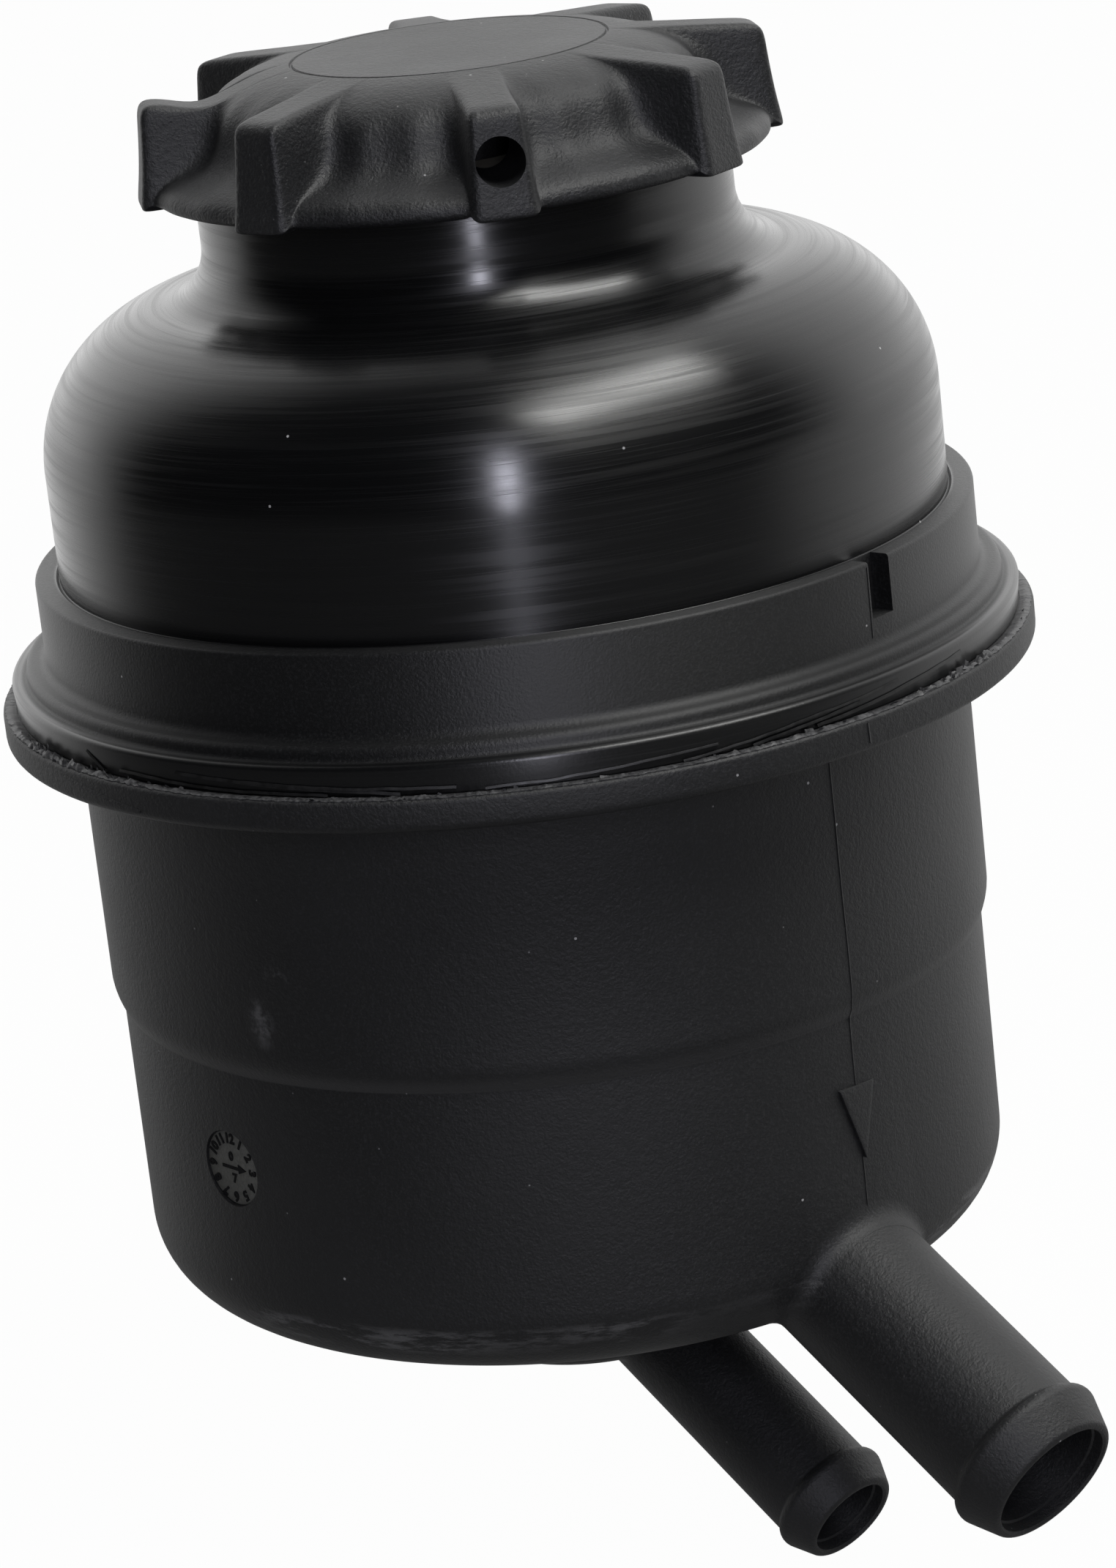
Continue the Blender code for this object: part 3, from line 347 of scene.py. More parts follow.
def cup_hollow_outline():
    riser_floor_z = BOSS_BOTTOM_Z + BOSS_FLOOR
    riser_base_z = cup_floor_z + RISER_BASE_HEIGHT
    ledge_z = RIM_HEIGHT - PLATE_LEDGE_DEPTH
    above_z = RIM_HEIGHT + HOLLOW_OVERRUN
    lower_r = CUP_LOWER_RADIUS - WALL
    upper_r = CUP_UPPER_RADIUS - WALL
    points = [(0.0, riser_floor_z), (RISER_BORE_RADIUS, riser_floor_z), (RISER_BORE_RADIUS, RISER_TOP_Z)]
    points += [(RISER_RADIUS - RISER_CHAMFER, RISER_TOP_Z), (RISER_RADIUS, RISER_TOP_Z - RISER_CHAMFER)]
    points += [(RISER_RADIUS, riser_base_z), (RISER_BASE_RADIUS, riser_base_z)]
    points += [(RISER_BASE_RADIUS, cup_floor_z)]
    points += arc(cup_corner_r, cup_corner_z, CUP_CORNER_RADIUS - WALL, -90, 0, 8)
    points += soft_step((lower_r, cup_step_low_z), (upper_r, CUP_STEP_TOP_Z), 5)
    points += [(upper_r, ledge_z), (PLATE_REBATE_RADIUS, ledge_z)]
    points += [(PLATE_REBATE_RADIUS, above_z), (0.0, above_z)]
    return points


cup_hollow = spun("cup_hollow", cup_hollow_outline(), HOLLOW_TURN)
print("riser %.1f mm above the floor" % ((RISER_TOP_Z - cup_floor_z) / MM))

# %% [markdown]
# ## The hose nipples
# Each nipple is a tube with a bead near its end, which keeps the hose from slipping off. The bead's back is
# steep and its front is a round nose, so that the hose slides on easily. They are turned along their own
# axis and then aimed. Both lie in one upright plane, as the mould's sliding cores needed.

# %% The outlines of a nipple and its bore
def nipple_outline(radius, bead_radius, bead_length, face_radius, length):
    cone_deg = math.degrees(math.atan2(bead_radius - face_radius, BEAD_CONE_SHARE * bead_length))
    # A hollow round and a full one meet where both lean alike, so the bead's back has no crease
    both_rounds = BEAD_ROOT_ROUND + BEAD_CREST_ROUND
    lean = math.acos(1.0 - (bead_radius - radius) / both_rounds)
    lean_deg = math.degrees(lean)
    crest_z = -bead_length + BEAD_CREST_ROUND
    root_z = crest_z - both_rounds * math.sin(lean)
    points = [(0.0, -length), (radius, -length)]
    points += arc(radius + BEAD_ROOT_ROUND, root_z, BEAD_ROOT_ROUND, 180, 180 - lean_deg, 6)
    points += arc(bead_radius - BEAD_CREST_ROUND, crest_z, BEAD_CREST_ROUND, -lean_deg, cone_deg, 12)
    points += arc(face_radius - BEAD_FACE_ROUND, -BEAD_FACE_ROUND, BEAD_FACE_ROUND, cone_deg, 90, 6)
    points += [(0.0, 0.0)]
    return points


def bore_outline(bore_radius, length):
    """The bore is a little wider at its mouth, with a fine step where the core pin changed its size."""
    mouth_radius = bore_radius + MOUTH_WIDENING
    points = [(0.0, -length), (bore_radius, -length), (bore_radius, -MOUTH_DEPTH - MOUTH_STEP)]
    points += [(mouth_radius, -MOUTH_DEPTH), (mouth_radius, -MOUTH_CHAMFER)]
    points += [(mouth_radius + MOUTH_CHAMFER, 0.0)]
    points += [(mouth_radius + MOUTH_OVERRUN, MOUTH_OVERRUN), (0.0, MOUTH_OVERRUN)]
    return points


# %% Turn and aim the nipples
nipple_out = radial(NIPPLE_AZIMUTH, math.cos(NIPPLE_TILT), -math.sin(NIPPLE_TILT))
nipple_side = Vector((-math.sin(NIPPLE_AZIMUTH), math.cos(NIPPLE_AZIMUTH), 0.0))
nipple_up = nipple_out.cross(nipple_side)


def aim_nipple(piece, face_centre):
    """Lay a piece whose local +Z runs outward along a nipple, with its end face at face_centre."""
    turn = Matrix((nipple_side, nipple_up, nipple_out)).transposed()
    piece.data.transform(Matrix.Translation(face_centre) @ turn.to_4x4())
    return piece


suction_face = radial(NIPPLE_AZIMUTH, SUCTION_OUT, SUCTION_Z)
suction_rise = CUP_BOTTOM_Z + SUCTION_RADIUS / math.cos(NIPPLE_TILT) - SUCTION_Z
suction_length = suction_rise / math.sin(NIPPLE_TILT) + NIPPLE_SINK
return_face = radial(NIPPLE_AZIMUTH, RETURN_OUT, RETURN_CROSSING_Z - RETURN_OUT * math.tan(NIPPLE_TILT))
return_length = RETURN_OUT / math.cos(NIPPLE_TILT)


def nipple_tools(name, face, outline, bore, tube_steps, bore_steps):
    """The tube to join to the cup and the bore to cut from it, both aimed."""
    tube = aim_nipple(spun(name + "_tube", outline, tube_steps), face)
    cutter = aim_nipple(spun(name + "_bore", bore, bore_steps), face)
    return tube, cutter


suction_tube, suction_bore = nipple_tools(
    "suction", suction_face,
    nipple_outline(SUCTION_RADIUS, SUCTION_BEAD_RADIUS, SUCTION_BEAD_LENGTH, SUCTION_FACE_RADIUS,
                   suction_length),
    bore_outline(SUCTION_BORE_RADIUS, suction_length + BORE_OVERRUN), 72, 60)
return_tube, return_bore = nipple_tools(
    "return", return_face,
    nipple_outline(RETURN_RADIUS, RETURN_BEAD_RADIUS, RETURN_BEAD_LENGTH, RETURN_FACE_RADIUS,
                   return_length - RISER_BORE_RADIUS),
    bore_outline(RETURN_BORE_RADIUS, return_length), 60, 48)
print("suction nipple %.1f mm long, return nipple %.1f mm" % (suction_length / MM, return_length / MM))

# %% [markdown]
# ## The fillets at the nipples' roots
# In a mould no nipple leaves the wall at a sharp corner: a soft fillet carries it in. A Bevel modifier fails
# on the uneven line where a slanted tube meets a rounded edge. Here each point of that line is searched for
# with a distance formula of the wall, and a curved strip is laid from the tube to the wall through it.

# %% Measure from the cup's wall
PROBE = 0.02 * MM


def pot_distance(point, radius, bottom_z, corner):
    """How far a point lies outside a round pot with a rounded bottom edge. It is negative inside."""
    across = math.hypot(point.x, point.y) - (radius - corner)
    down = (bottom_z + corner) - point.z
    beyond = math.hypot(max(across, 0.0), max(down, 0.0))
    return beyond + min(max(across, down), 0.0) - corner


def cup_distance(point):
    body = pot_distance(point, CUP_LOWER_RADIUS, CUP_BOTTOM_Z, CUP_CORNER_RADIUS)
    boss = pot_distance(point, BOSS_RADIUS, BOSS_BOTTOM_Z, BOSS_EDGE_RADIUS)
    return min(body, boss)


def wall_normal(point):
    """The direction straight out of the cup's wall, from four nearby distances."""
    here = cup_distance(point)
    slope = [cup_distance(point + Vector(side) * PROBE) - here for side in ((1, 0, 0), (0, 1, 0), (0, 0, 1))]
    return Vector(slope).normalized()


below_boss = Vector((0.0, 0.0, BOSS_BOTTOM_Z - MM))
print("a point 1 mm below the boss measures %.2f mm" % (cup_distance(below_boss) / MM))

# %% Lay out one section of a fillet
FILLET_STEPS = 8
FILLET_START = 8.0 * MM
FILLET_PROUD = 0.02 * MM
FILLET_SINK = 0.03 * MM
FILLET_DEPTH = 1.2 * MM
FILLET_INSET = 1.0 * MM
FILLET_OVERLAP = 0.2 * MM
HALVINGS = 40


def find_foot(line, length):
    """Where a line along the nipple meets the cup's wall, found by halving."""
    outer, inner = FILLET_START, length
    for _ in range(HALVINGS):
        middle = 0.5 * (outer + inner)
        if cup_distance(line - nipple_out * middle) > 0.0:
            outer = middle
        else:
            inner = middle
    return line - nipple_out * outer


def fillet_column(foot, away, reach):
    """One section of the fillet: a bend from the tube to the wall, and three points buried behind it."""
    normal = wall_normal(foot)
    aside = (away - normal * away.dot(normal)).normalized()
    on_tube = foot + nipple_out * reach + away * FILLET_PROUD
    on_wall = foot + aside * reach
    for _ in range(3):
        on_wall -= wall_normal(on_wall) * cup_distance(on_wall)
    column = []
    for step in range(FILLET_STEPS + 1):
        share = step / FILLET_STEPS
        column.append(on_tube * (1 - share) ** 2 + foot * 2 * share * (1 - share) + on_wall * share ** 2)
    column[-1] -= wall_normal(on_wall) * FILLET_SINK
    column.append(on_wall - wall_normal(on_wall) * FILLET_DEPTH)
    column.append(foot - away * FILLET_INSET - nipple_out * FILLET_DEPTH)
    column.append(foot - away * FILLET_INSET + nipple_out * (reach + FILLET_OVERLAP))
    return column


# %% Build the fillets
SUCTION_FILLET = 1.8 * MM
RETURN_FILLET = 1.0 * MM


def root_fillet(name, face_centre, radius, length, reach, steps):
    """A ring-shaped solid that fills the corner between a nipple and the cup."""
    shape = bmesh.new()
    columns = []
    for index in range(steps):
        angle = math.tau * index / steps
        away = nipple_side * math.cos(angle) + nipple_up * math.sin(angle)
        columns.append(fillet_column(find_foot(face_centre + away * radius, length), away, reach))
    rows = [[shape.verts.new(column[row]) for column in columns] for row in range(len(columns[0]))]
    skin(shape, rows, closed=True)
    return new_piece(name, shape)


suction_fillet = root_fillet(
    "suction_fillet", suction_face, SUCTION_RADIUS, suction_length, SUCTION_FILLET, 72)
return_fillet = root_fillet(
    "return_fillet", return_face, RETURN_RADIUS, return_length, RETURN_FILLET, 60)
print("fillets of %.1f mm and %.1f mm" % (SUCTION_FILLET / MM, RETURN_FILLET / MM))

# %% [markdown]
# ## The date dial's recess
# A moulder sets a small round insert in the mould, which prints the month and the year. It sits a little
# below the wall, so first a flat-bottomed recess is cut, and the dial's own face is made as a piece later.

# %% Aim the dial's recess
DIAL_AZIMUTH = math.radians(-140.2)
DIAL_Z = -39.3 * MM
DIAL_RADIUS = 4.0 * MM
DIAL_DEPTH = 0.45 * MM
DIAL_TURN = 64
DIAL_CUT = 3.0 * MM
dial_cutter = spun(
    "dial_cutter", [(0.0, 0.0), (DIAL_RADIUS, 0.0), (DIAL_RADIUS, DIAL_CUT), (0.0, DIAL_CUT)], DIAL_TURN)
dial_turn = Matrix((Vector((-math.sin(DIAL_AZIMUTH), math.cos(DIAL_AZIMUTH), 0.0)), Vector((0.0, 0.0, 1.0)),
                    radial(DIAL_AZIMUTH, 1.0, 0.0))).transposed().to_4x4()
dial_place = Matrix.Translation(radial(DIAL_AZIMUTH, CUP_LOWER_RADIUS - DIAL_DEPTH, DIAL_Z)) @ dial_turn
dial_cutter.data.transform(dial_place)
print("dial %.1f mm wide" % (2 * DIAL_RADIUS / MM))

# %% Put the cup together
for solid in (suction_tube, suction_fillet, return_tube, return_fillet):
    combine(cup, solid, "UNION")
for cutter in (cup_hollow, suction_bore, return_bore, dial_cutter):
    combine(cup, cutter, "DIFFERENCE")
smooth(settle(cup))
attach(cup, "housing")
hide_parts("lower_cup", "riser_boss", "suction_nipple", "return_nipple")

# %% [markdown]
# ## The shell
# The shell was moulded as one piece too: a two-step flange, a plain grained band, then a glossy dome with a
# round shoulder that runs into the neck. The outline is one closed ring, with arcs where the real edges are
# round. The neck's groove for the cap's thread is a round bar wound on a helix and cut away.

# %% The shell's outline
SHELL_TURN = 176


def shell_outline():
    disc_z = WELD_Z + DISC_THICKNESS
    step_z = disc_z + STEP_HEIGHT
    shoulder_r = DOME_RADIUS - SHOULDER_RADIUS
    root_r = NECK_RADIUS + NECK_ROOT_RADIUS
    reach = SHOULDER_RADIUS + NECK_ROOT_RADIUS
    root_z = SHOULDER_CENTRE_Z + math.sqrt(reach ** 2 - (root_r - shoulder_r) ** 2)
    blend = math.degrees(math.atan2(root_z - SHOULDER_CENTRE_Z, root_r - shoulder_r))
    inner_r = DOME_RADIUS - WALL
    inner_top_z = SHOULDER_CENTRE_Z + SHOULDER_RADIUS - WALL
    inner_edge_r = NECK_BORE_RADIUS + NECK_INNER_EDGE_RADIUS
    points = [(inner_r, WELD_Z), (DISC_RADIUS - DISC_LIP, WELD_Z)]
    points += arc(DISC_RADIUS - DISC_ROUND, disc_z - DISC_ROUND, DISC_ROUND, 0, 90, 4)
    points += arc(STEP_RADIUS + STEP_ROOT_ROUND, disc_z + STEP_ROOT_ROUND, STEP_ROOT_ROUND, 270, 180, 3)
    points += arc(STEP_RADIUS - STEP_ROUND, step_z - STEP_ROUND, STEP_ROUND, 0, 90, 5)
    points += arc(BAND_RADIUS + BAND_ROOT_ROUND, step_z + BAND_ROOT_ROUND, BAND_ROOT_ROUND, 270, 180, 5)
    points += arc(BAND_RADIUS - BAND_ROUND, BAND_TOP_Z - BAND_ROUND, BAND_ROUND, 0, 90, 4)
    points += [(DOME_RADIUS + out, BAND_TOP_Z + above) for out, above in DOME_GROOVE]
    points += arc(shoulder_r, SHOULDER_CENTRE_Z, SHOULDER_RADIUS, 0, blend, 30)
    points += arc(root_r, root_z, NECK_ROOT_RADIUS, blend + 180, 180, 14)[1:]
    points += arc(NECK_RADIUS - NECK_EDGE, NECK_TOP_Z - NECK_EDGE, NECK_EDGE, 0, 90, 4)
    points += [(NECK_BORE_RADIUS, NECK_TOP_Z)]
    points += arc(inner_edge_r, inner_top_z + NECK_INNER_EDGE_RADIUS, NECK_INNER_EDGE_RADIUS, 180, 270, 4)
    points += arc(shoulder_r, SHOULDER_CENTRE_Z, SHOULDER_RADIUS - WALL, 90, 0, 12)
    return points


shell = spun("shell_moulding", shell_outline(), SHELL_TURN, closed=True)
print("the shell's outline has", len(shell_outline()), "points")

# %% A block and a wound bar, to cut with
BAR_CORNERS = 10
BAR_STEPS_PER_TURN = 60


def box_between(name, low, high):
    shape = bmesh.new()
    bmesh.ops.create_cube(shape, size=1.0)
    low = Vector(low)
    high = Vector(high)
    bmesh.ops.scale(shape, vec=high - low, verts=shape.verts)
    bmesh.ops.translate(shape, vec=(low + high) / 2, verts=shape.verts)
    return new_piece(name, shape)


def wound_bar(name, radius, wire_radius, height_at, turns, start_azimuth):
    """A round bar wound about Z. height_at tells its height for a share of its length, from 0 to 1."""
    shape = bmesh.new()
    rows = []
    count = round(turns * BAR_STEPS_PER_TURN)
    for index in range(count + 1):
        share = index / count
        angle = start_azimuth + share * turns * math.tau
        centre = radial(angle, radius, height_at(share))
        out = radial(angle, 1.0, 0.0)
        around = [math.tau * corner / BAR_CORNERS for corner in range(BAR_CORNERS)]
        rows.append([shape.verts.new(centre + (out * math.cos(a) + Vector((0, 0, math.sin(a)))) * wire_radius)
                     for a in around])
    skin(shape, rows)
    shape.faces.new(rows[0])
    shape.faces.new(rows[-1])
    return new_piece(name, shape)


def thread_height(start_z, turns):
    """The height of a thread that rises by its pitch in each turn, for wound_bar."""
    return lambda share: start_z + share * turns * THREAD_PITCH


print("a thread turn rises %.1f mm" % (thread_height(0.0, THREAD_TURNS)(1.0) / THREAD_TURNS / MM))

# %% Cut the slot and the thread's groove
band_slot = box_between(
    "band_slot", (BAND_RADIUS - SLOT_DEPTH, -SLOT_WIDTH / 2, SLOT_BOTTOM_Z),
    (BAND_RADIUS + SLOT_OVERRUN, SLOT_WIDTH / 2, BAND_TOP_Z + SLOT_OVERRUN))
band_slot.data.transform(Matrix.Rotation(SLOT_AZIMUTH, 4, "Z"))
groove_turns = (NECK_TOP_Z + GROOVE_OVERRUN - THREAD_START_Z) / THREAD_PITCH + GROOVE_LEAD_TURNS
neck_groove = wound_bar(
    "neck_groove", CAP_PLUG_RADIUS, THREAD_CREST + THREAD_CLEARANCE,
    thread_height(THREAD_START_Z - GROOVE_LEAD_TURNS * THREAD_PITCH, groove_turns), groove_turns,
    THREAD_START_AZIMUTH - GROOVE_LEAD_TURNS * math.tau)
combine(shell, band_slot, "DIFFERENCE")
combine(shell, neck_groove, "DIFFERENCE")
smooth(settle(shell), 30.0)
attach(shell, "housing")
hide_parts("upper_shell")

# %% [markdown]
# ## The cap
# The cap has eight grip wings that grow out of a soft hub. Blocks joined to a disc would leave hard corners
# everywhere, so the cap is a subdivision surface instead. Its cage is a net of rows, from the middle of the
# top face down to the lower edge. On a wing a row follows the ridge, and between wings it follows the hub.
# The two kinds of column meet in the wing's flat side. Rings that must stay sharp are creased.

# %% Sizes of the cap
WING_COUNT = 8
WING_FIRST_AZIMUTH = math.radians(-83.4)
WING_TOP_HALF = 2.65 * MM
WING_FOOT_HALF = 3.3 * MM
WING_TOP_Z = 63.0 * MM
WING_FOOT_Z = 52.7 * MM
WING_ROUND = 0.75 * MM
VENT_RADIUS = 2.4 * MM
VENT_Z = 58.2 * MM
VENT_CUT = 14.0 * MM
VENT_OVERRUN = 2.0 * MM
DISC_LINE_RADIUS = 15.7 * MM
DISC_LINE_EDGE = 0.2 * MM
DISC_LINE_FLOOR = 0.08 * MM
DISC_LINE_FALL = 0.02 * MM
DISC_LINE_DEPTH = 0.22 * MM
CAP_PLUG_WALL = 2.5 * MM
CAP_PLUG_EDGE = 0.8 * MM
CAP_RECESS_GAP = 0.6 * MM
CAP_ROOF = 2.4 * MM
CAP_BOTTOM_Z = 52.9 * MM
SEAL_SPACE = 1.5 * MM
STICK_SOCKET_RADIUS = 3.4 * MM
STICK_SOCKET_DEPTH = 7.6 * MM
SOCKET_RADIUS = 6.0 * MM
SOCKET_BOTTOM_Z = 54.0 * MM

# A wing's ridge, out and then down its end face: (x, z), and the direction the surface faces there
RIDGE = [
    (16.8, 64.5, 0.0, 1.0), (19.0, 64.3, 0.0, 1.0), (22.0, 64.0, 0.0, 1.0), (25.0, 63.75, 0.0, 1.0),
    (28.0, 63.45, 0.0, 1.0), (30.4, 63.2, 0.2, 1.0), (31.2, 62.4, 1.0, 0.35), (31.3, 60.6, 1.0, 0.0),
    (31.5, 58.2, 1.0, 0.0), (31.75, 56.0, 1.0, 0.0), (32.05, 54.2, 1.0, 0.0), (32.25, 52.9, 1.0, -0.3),
    (31.9, 52.62, 0.0, -1.0), (29.3, 52.7, 0.0, -1.0),
]
# The hub between two wings, over the shoulder, down the wall and out along the skirt: (r, z)
HUB = [
    (16.8, 64.5), (18.8, 64.2), (20.8, 63.6), (22.6, 62.7), (23.7, 61.5), (24.2, 60.2), (24.6, 59.0),
    (25.1, 57.9), (26.0, 56.8), (27.6, 56.0), (29.6, 55.4), (30.8, 54.5), (31.0, 53.1), (29.6, 52.75),
]
# The left wing has a shallow saddle in its ridge: how far each of the first rows drops
SADDLE_WING = 6
SADDLE = {1: 0.2, 2: 1.1, 3: 1.9, 4: 0.7}

# %% Lay out the cap's wings
CREST_SHARES = (0.0, 0.55, 0.86)
FLANK_SHARES = {3: 0.0, 4: 0.55, 5: 1.0}
HUB_ANGLES = {6: 13.0, 7: 16.8, 8: 22.5}
HUB_BULGES = {6: 0.2, 7: 0.85, 8: 0.0}
# Rows between which the hub's bulge comes in, and rows between which it goes
BULGE_IN = (1, 5)
BULGE_OUT = (9, 12)
# Over this height a wing's edge goes from nearly sharp, close to the disc, to its full round
ROUND_RISE = 1.2 * MM
LEAST_ROUND = 0.12
FULL_ROUND_ROW = 4
WING_ROOT_FLARE = 0.35 * MM


def wing_half(z):
    return mix(WING_FOOT_HALF, WING_TOP_HALF, (z - WING_FOOT_Z) / (WING_TOP_Z - WING_FOOT_Z))


def cage_point(wing, row, column):
    """A point of one sector, with X along the wing. Columns run from -7 to 8, and 0 is the ridge."""
    side = math.copysign(1.0, column)
    step = abs(column)
    x, z, face_x, face_z = RIDGE[row]
    if wing == SADDLE_WING:
        z -= SADDLE.get(row, 0.0)
    x, z = x * MM, z * MM
    hub_r, hub_z = HUB[row][0] * MM, HUB[row][1] * MM
    half = wing_half(z)
    if step < len(CREST_SHARES):
        return Vector((x, side * half * CREST_SHARES[step], z))
    if step in HUB_ANGLES:
        comes = clamped((row - BULGE_IN[0]) / (BULGE_IN[1] - BULGE_IN[0]))
        goes = clamped((BULGE_OUT[1] - row) / (BULGE_OUT[1] - BULGE_OUT[0]))
        r = hub_r + HUB_BULGES[step] * comes * goes * MM
        angle = math.radians(HUB_ANGLES[step])
        return Vector((r * math.cos(angle), side * r * math.sin(angle), hub_z))
    rise = 1.0
    if row < FULL_ROUND_ROW:
        rise = min(max((z - hub_z) / ROUND_RISE, LEAST_ROUND), 1.0)
    edge = Vector((x - WING_ROUND * face_x, half, z - WING_ROUND * face_z * rise))
    root_y = wing_half(hub_z) + WING_ROOT_FLARE
    root = Vector((math.sqrt(hub_r ** 2 - root_y ** 2), root_y, hub_z))
    share = FLANK_SHARES[step]
    point = edge.lerp(root, share)
    point.y = mix(half, root_y, share ** 3)
    return Vector((point.x, side * point.y, point.z))


# %% Put the sectors together
DISC_ANGLES = [0.0, 4.2, 7.4, 9.2, 10.0, 11.0, 13.5, 17.5, 22.5]


def disc_point(r, z, column):
    angle = math.copysign(math.radians(DISC_ANGLES[abs(column)]), column)
    return Vector((r * math.cos(angle), r * math.sin(angle), z))


def sector_row(point_of):
    """One full row: the columns of all eight sectors, each turned to its wing."""
    row = []
    for wing in range(WING_COUNT):
        turn = Matrix.Rotation(WING_FIRST_AZIMUTH + wing * math.tau / WING_COUNT, 3, "Z")
        row += [turn @ point_of(wing, column) for column in range(-7, 9)]
    return row


disc_row = sector_row(lambda wing, column: disc_point(DISC_LINE_RADIUS, CAP_TOP_Z, column))
print("the cap's cage has", len(disc_row), "columns in", WING_COUNT, "sectors")

# %% List the cap's plain rings, above and below the wings
FIRST_SHARP_RING = 2
line_low = CAP_TOP_Z - DISC_LINE_DEPTH
top_rings = [
    (6.0 * MM, CAP_TOP_Z), (12.0 * MM, CAP_TOP_Z), (DISC_LINE_RADIUS - DISC_LINE_EDGE, CAP_TOP_Z),
    (DISC_LINE_RADIUS - DISC_LINE_FLOOR, line_low), (DISC_LINE_RADIUS + DISC_LINE_FLOOR, line_low),
    (DISC_LINE_RADIUS + DISC_LINE_EDGE, CAP_TOP_Z - DISC_LINE_FALL),
]
recess_r = NECK_RADIUS + CAP_RECESS_GAP
recess_z = NECK_TOP_Z + SEAL_SPACE
inside_r = CAP_PLUG_RADIUS - CAP_PLUG_WALL
roof_z = CAP_TOP_Z - CAP_ROOF
socket_roof_z = SOCKET_BOTTOM_Z + STICK_SOCKET_DEPTH
low_rings = [
    (recess_r, CAP_BOTTOM_Z), (recess_r, recess_z), (CAP_PLUG_RADIUS, recess_z),
    (CAP_PLUG_RADIUS, CAP_PLUG_BOTTOM_Z + CAP_PLUG_EDGE),
    (CAP_PLUG_RADIUS - CAP_PLUG_EDGE, CAP_PLUG_BOTTOM_Z),
    (inside_r, CAP_PLUG_BOTTOM_Z), (inside_r, roof_z), (SOCKET_RADIUS, roof_z),
    (SOCKET_RADIUS, SOCKET_BOTTOM_Z), (STICK_SOCKET_RADIUS, SOCKET_BOTTOM_Z),
    (STICK_SOCKET_RADIUS, socket_roof_z),
]
print("the cap has", len(top_rings), "rings above the wings and", len(low_rings), "below")

# %% Skin the cap's cage
cage = bmesh.new()
crease = cage.edges.layers.float.new("crease_edge")
cage_rows = [[cage.verts.new((0.0, 0.0, CAP_TOP_Z))]]
sharp_rows = []


def add_cage_row(point_of, sharp):
    row = [cage.verts.new(point) for point in sector_row(point_of)]
    cage_rows.append(row)
    if sharp:
        sharp_rows.append(row)


for index, (ring_r, ring_z) in enumerate(top_rings):
    add_cage_row(lambda wing, column: disc_point(ring_r, ring_z, column), index >= FIRST_SHARP_RING)
for index in range(len(RIDGE)):
    add_cage_row(lambda wing, column: cage_point(wing, index, column), False)
for ring_r, ring_z in low_rings:
    add_cage_row(lambda wing, column: disc_point(ring_r, ring_z, column), True)
cage_rows.append([cage.verts.new((0.0, 0.0, socket_roof_z))])
skin(cage, cage_rows)
for ring in sharp_rows:
    for first, second in zip(ring, ring[1:] + ring[:1]):
        cage.edges.get((first, second))[crease] = 1.0
cap = new_piece("cap_moulding", cage)
rounding = cap.modifiers.new("Round", "SUBSURF")
rounding.levels = 2
rounding.render_levels = 2
print("the cage has", len(cage_rows), "rows,", len(sharp_rows), "of them sharp")

# %% Cut the vent through the front wing
VENT_TURN = 48
vent = spun(
    "vent_cutter", [(0.0, 0.0), (VENT_RADIUS, 0.0), (VENT_RADIUS, VENT_CUT), (0.0, VENT_CUT)], VENT_TURN)
vent_start = radial(WING_FIRST_AZIMUTH, inside_r - VENT_OVERRUN, VENT_Z)
vent.data.transform(Matrix.Translation(vent_start) @ Matrix.Rotation(WING_FIRST_AZIMUTH, 4, "Z")
                    @ Matrix.Rotation(math.pi / 2, 4, "Y"))
combine(cap, vent, "DIFFERENCE")
smooth(settle(cap), 40.0)
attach(cap, "cap")
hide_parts("cap_body")

# %% Wind the cap's thread
cap_thread = wound_bar(
    "cap_thread", CAP_PLUG_RADIUS, THREAD_CREST, thread_height(THREAD_START_Z, THREAD_TURNS),
    THREAD_TURNS, THREAD_START_AZIMUTH)
smooth(cap_thread, 50.0)
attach(cap_thread, "cap")

# %% [markdown]
# ## The filter's spring
# The spring sits under the baffle plate and presses the filter down on the riser. When oil can't pass a
# clogged filter, it lifts, and the coils are pressed together.

# %% Wind the spring
SPRING_WIRE_RADIUS = 0.8 * MM
SPRING_TURNS = 3.5
SPRING_END_TURNS = 0.6
SPRING_END_RISE = 0.12 * SPRING_WIRE_RADIUS
spring_low, spring_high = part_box("filter_spring")
spring_low_z = spring_low.z + SPRING_WIRE_RADIUS
spring_high_z = spring_high.z - SPRING_WIRE_RADIUS
spring_turns = SPRING_TURNS + 2 * SPRING_END_TURNS


def spring_height(share):
    """The end turns lie almost flat, and the turns between them rise evenly."""
    end_share = SPRING_END_TURNS / spring_turns
    if share < end_share:
        return spring_low_z + SPRING_END_RISE * share / end_share
    if share > 1.0 - end_share:
        return spring_high_z - SPRING_END_RISE * (1.0 - share) / end_share
    rise = (share - end_share) / (1.0 - 2 * end_share)
    return mix(spring_low_z + SPRING_END_RISE, spring_high_z - SPRING_END_RISE, rise)


spring = wound_bar("spring_coil", spring_high.x - SPRING_WIRE_RADIUS, SPRING_WIRE_RADIUS, spring_height,
                   spring_turns, 0.0)
smooth(spring, 50.0)
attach(spring, "housing")
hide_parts("filter_spring")
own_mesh(spring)

# %% [markdown]
# ## Seams of the mould
# Where the mould's halves met, one side of the wall stands a hair higher than the other. It shows as a thin
# dark line with a light edge beside it. A low ridge that is steep on one side gives exactly that, and it can
# follow any line drawn on the wall. The halves parted in the nipples' plane, so there is a line behind too.

# %% A ridge along a line on the wall
# Its section: (share of the width to one side, share of the height outward, further outward in mm)
SEAM_SECTION = [(0.5, 0.0, -0.12), (0.38, 1.0, 0.0), (0.1, 0.8, 0.0), (-0.5, 0.0, -0.02), (0.0, 0.0, -0.2)]


